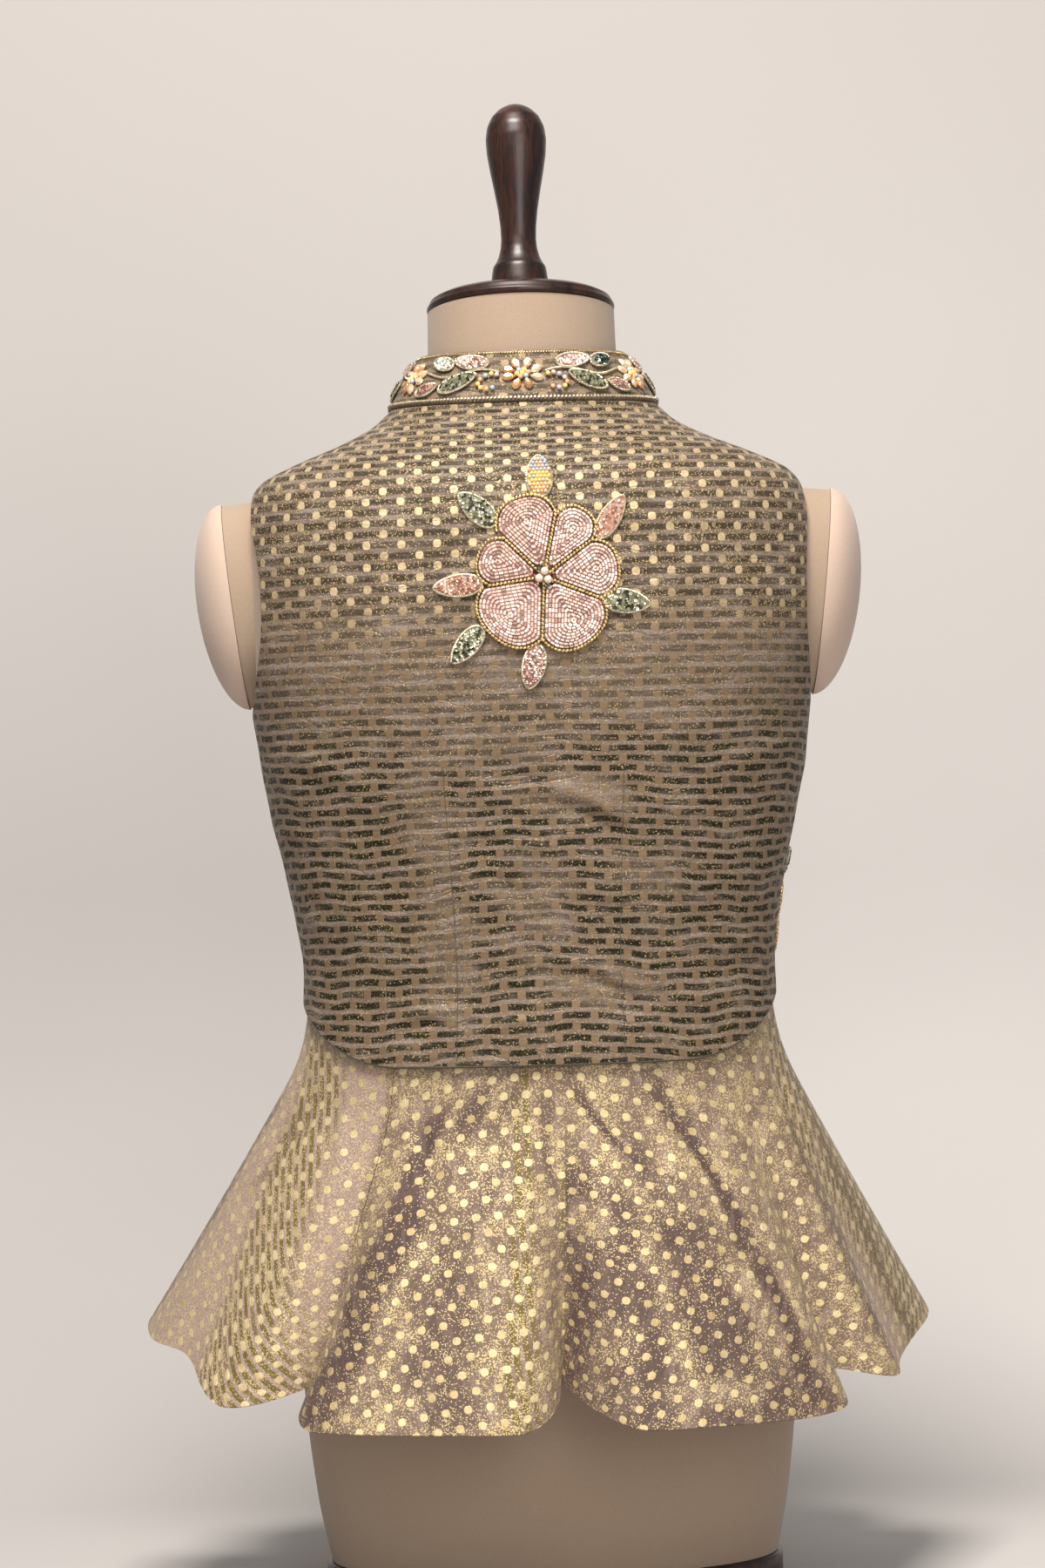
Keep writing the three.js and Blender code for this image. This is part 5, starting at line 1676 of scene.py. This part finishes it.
def add_collar_leaves():
    parts, tones, purl = [], [], []
    for side, word in ((-1, "left"), (1, "right")):
        for k, turn in enumerate(COLLAR_FLOWERS[1:]):
            for name, at, up, angle, long, wide, kind in SPRIG:
                aim = 180 - angle if side > 0 else angle
                if name == "upper_green" and side > 0:
                    kind = "dark"
                place = on_collar(side * mix(COLLAR_FLOWERS[k], turn, at), up)
                leaf = (0, 0, aim, long, wide, kind)
                spots, colors = leaf_pieces(place, leaf, 1.0)
                parts.append(spots)
                tones.append(colors)
                purl += leaf_purl(place, leaf, 1.0, 1.9, 1.2)
            place = on_collar(side * COLLAR_FLOWERS[k], 0.5)
            run = (turn - COLLAR_FLOWERS[k]) * COLLAR_REACH
            x = np.linspace(12.5, run - 12, 40)
            vine = np.stack([side * x, 1.6 + 2.6 * np.sin(2 * np.pi * (x - 12) / 42)], axis=1)
            purl += purl_paths(place, vine, 0.36, 1.9, 0.7)
    repeated("collar_sequins", SEQUIN, joined_spots(parts), np.concatenate(tones), SEQUINS)
    tubes("collar_silver_purl", purl, 0.52, SILVER, 5)


def add_collar_curls():
    place = on_collar(0, 0.5)
    x, z = np.array(CURL).T
    x, z = np.append(x, -x), np.append(z, z)
    spots = surface_spots(place, x, z, 0 * x, np.full(x.shape, 1.3), (1.5, 1.5, 1.35))
    tones = "pink yellow blue orange yellow yellow orange blue "
    tones += "yellow pink blue pink orange yellow lilac orange"
    repeated("collar_curls", ROUND_BEAD, spots, pastels(tones), BEADS)


def add_collar_cords():
    """A gold cord over the neck seam, and a finer one along the collar's top edge."""
    place = on_collar(0, 0)
    x = np.linspace(-178.5, 178.5, 240) * COLLAR_REACH
    seam = knots(place, [stack(x, 0.6)], 1.9, (1.2, 0.85, 0.95), 0.6)
    repeated("collar_seam_cord", KNOT, seam, None, SILVER)
    edge = knots(place, [stack(x, 35.2)], 1.7, (0.8, 0.42, 0.45), 0.1, slant=50)
    repeated("collar_edge_cord", KNOT, edge, None, GOLD)


def add_collar_beadwork():
    add_collar_flower("collar_flower_back", 0)
    for k, turn in enumerate(COLLAR_FLOWERS[1:], 1):
        add_collar_flower(f"collar_flower_left_{k}", -turn)
        add_collar_flower(f"collar_flower_right_{k}", turn)
    add_collar_leaves()
    add_collar_curls()
    add_collar_cords()


# Sewing

THREAD = lining_material("thread", (0.05, 0.04, 0.028))


def add_darts():
    """The two waist darts' seam lines, half sunk in the cloth."""
    z = np.linspace(hem_height(DART_TURN - 2) + 3, DART_TOP, 160)
    turn = DART_TURN - 1.5 * (z - 330) / 180
    lines = [bodice_point(side * turn, z, CLOTH + 0.02) for side in (-1, 1)]
    tubes("dart_seams", lines, 0.24, THREAD, 5)


def add_painted_hem_shadow():
    """A rolled hem in dark thread along the bodice's hem, which stands in for the thin shadow under it: painted
    shadow.
    """
    lines = []
    for start, end, count in ((-89.6, 89.6, 420), (90.4, 179.8, 200), (-179.8, -90.4, 200)):
        turn = np.linspace(start, end, count)
        level = hem_height(turn) - 0.2
        lines.append(body_point(turn, level, bodice_ease(level) + 1.1))
    tubes("painted_hem_shadow", lines, 0.65, THREAD, 8)


add_form_body()
add_arm_cap(-1, "left")
add_arm_cap(1, "right")
add_turned("neck_disc", "form_neck_disc", DISC_PROFILE, 0)
add_turned("handle", "form_handle", HANDLE_PROFILE, DISC_TOP + SEAM_GAP)
add_base_board()
add_bodice()
add_collar()
add_peplum()
add_flower("back_flower", on_bodice, list(LEAVES), 1.0)
add_flower("side_flower", on_side, SIDE_LEAVES, SIDE_MOTIF[2])
add_collar_beadwork()
add_darts()
add_painted_hem_shadow()

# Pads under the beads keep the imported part's own shapes
PAD_TONES = {
    "petal": (0.4, 0.22, 0.19),
    "green": (0.16, 0.18, 0.11),
    "peach": (0.45, 0.24, 0.18),
    "pastel": (0.6, 0.45, 0.25),
    "flower": (0.4, 0.24, 0.13),
    "centre": (0.3, 0.2, 0.12),
}
for kind, tone in PAD_TONES.items():
    pad = lining_material("pad_" + kind, tone)
    for node_name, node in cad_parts.items():
        if kind in node_name and node_name.split("_")[0] in ("back", "side", "collar"):
            node.data.materials.clear()
            node.data.materials.append(pad)

# Light, backdrop and camera

PHOTO_SIZE = (1200, 1800)
PHOTO_SCALE = 0.54  # millimetres a pixel at the form's middle
CAMERA_AWAY = 2600
CAMERA_ROLL = 1.6
CAMERA_HEIGHT = 494
MIDDLE_PIXEL = 613  # the form's middle across the picture
SENSOR = 36


def add_backdrop():
    """A pale floor that curves up into a wall, which is narrow so that the part can be seen past it."""
    radius, depth, front, top, floor_wide, wall_wide = 420, 330, -2600, 2200, 3600, 640
    profile = [(front, 0, floor_wide), (depth, 0, floor_wide), (depth, 0, wall_wide)]
    for angle in np.radians(np.arange(6, 91, 6)):
        profile.append((depth + radius * math.sin(angle), radius * (1 - math.cos(angle)), wall_wide))
    profile.append((depth + radius, top, wall_wide))
    points = [(x, y, z) for y, z, wide in profile for x in (-wide, wide)]
    faces = [[2 * k, 2 * k + 1, 2 * k + 3, 2 * k + 2] for k in range(len(profile) - 1)]
    mesh = bpy.data.meshes.new("backdrop")
    mesh.from_pydata((np.array(points) * MM).tolist(), [], faces)
    mesh.shade_smooth()
    s = Shader("backdrop")
    place = s.place()
    across, _, height = s.split(place)
    color = s.blend(s.ramp(s.noise(place, 0.0025), 0.3, 0.7), (0.61, 0.585, 0.57), (0.635, 0.61, 0.595))
    # Painted shade: the backdrop is painted darker to the left and towards the top
    color = s.blend(s.ramp(across, -500, 450), s.shaded(color, 0.88), color)
    color = s.blend(s.ramp(height, 500, 1300), color, (0.5, 0.47, 0.455))
    mesh.materials.append(s.set(color=color, rough=0.9, specular=0.1))
    link_object("backdrop", mesh)


def add_area_light(name, place, aim, size, power, color):
    data = bpy.data.lights.new(name, "AREA")
    data.shape = "RECTANGLE"
    data.size, data.size_y = size
    data.energy = power
    data.color = color
    light = link_object(name, data)
    light.location = place
    light.rotation_euler = (Vector(aim) - Vector(place)).to_track_quat("-Z", "Y").to_euler()


add_backdrop()
add_area_light("overhead", (-0.2, -1.05, 2.4), (0, 0, 0.55), (0.9, 0.7), 70, (1, 0.95, 0.88))
add_area_light("front_fill", (0.7, -2.8, 1.2), (0, 0, 0.5), (1.4, 1.4), 24, (1, 0.97, 0.94))

world = bpy.data.worlds.new("studio")
bpy.context.scene.world = world
world.use_nodes = True
world.node_tree.nodes["Background"].inputs[0].default_value = (0.97, 0.98, 1.0, 1)
world.node_tree.nodes["Background"].inputs[1].default_value = 0.28


def add_camera():
    data = bpy.data.cameras.new("camera")
    data.sensor_width = SENSOR
    data.lens = SENSOR * CAMERA_AWAY / (PHOTO_SIZE[1] * PHOTO_SCALE)
    data.clip_end = 50
    data.shift_x = -(MIDDLE_PIXEL - PHOTO_SIZE[0] / 2) / PHOTO_SIZE[1]
    camera = link_object("camera", data)
    camera.location = (0, -CAMERA_AWAY * MM, CAMERA_HEIGHT * MM)
    camera.rotation_euler = (math.pi / 2, math.radians(CAMERA_ROLL), 0)
    bpy.context.scene.camera = camera


add_camera()

view = bpy.context.scene.view_settings
view.view_transform = "Standard"
view.look = "None"
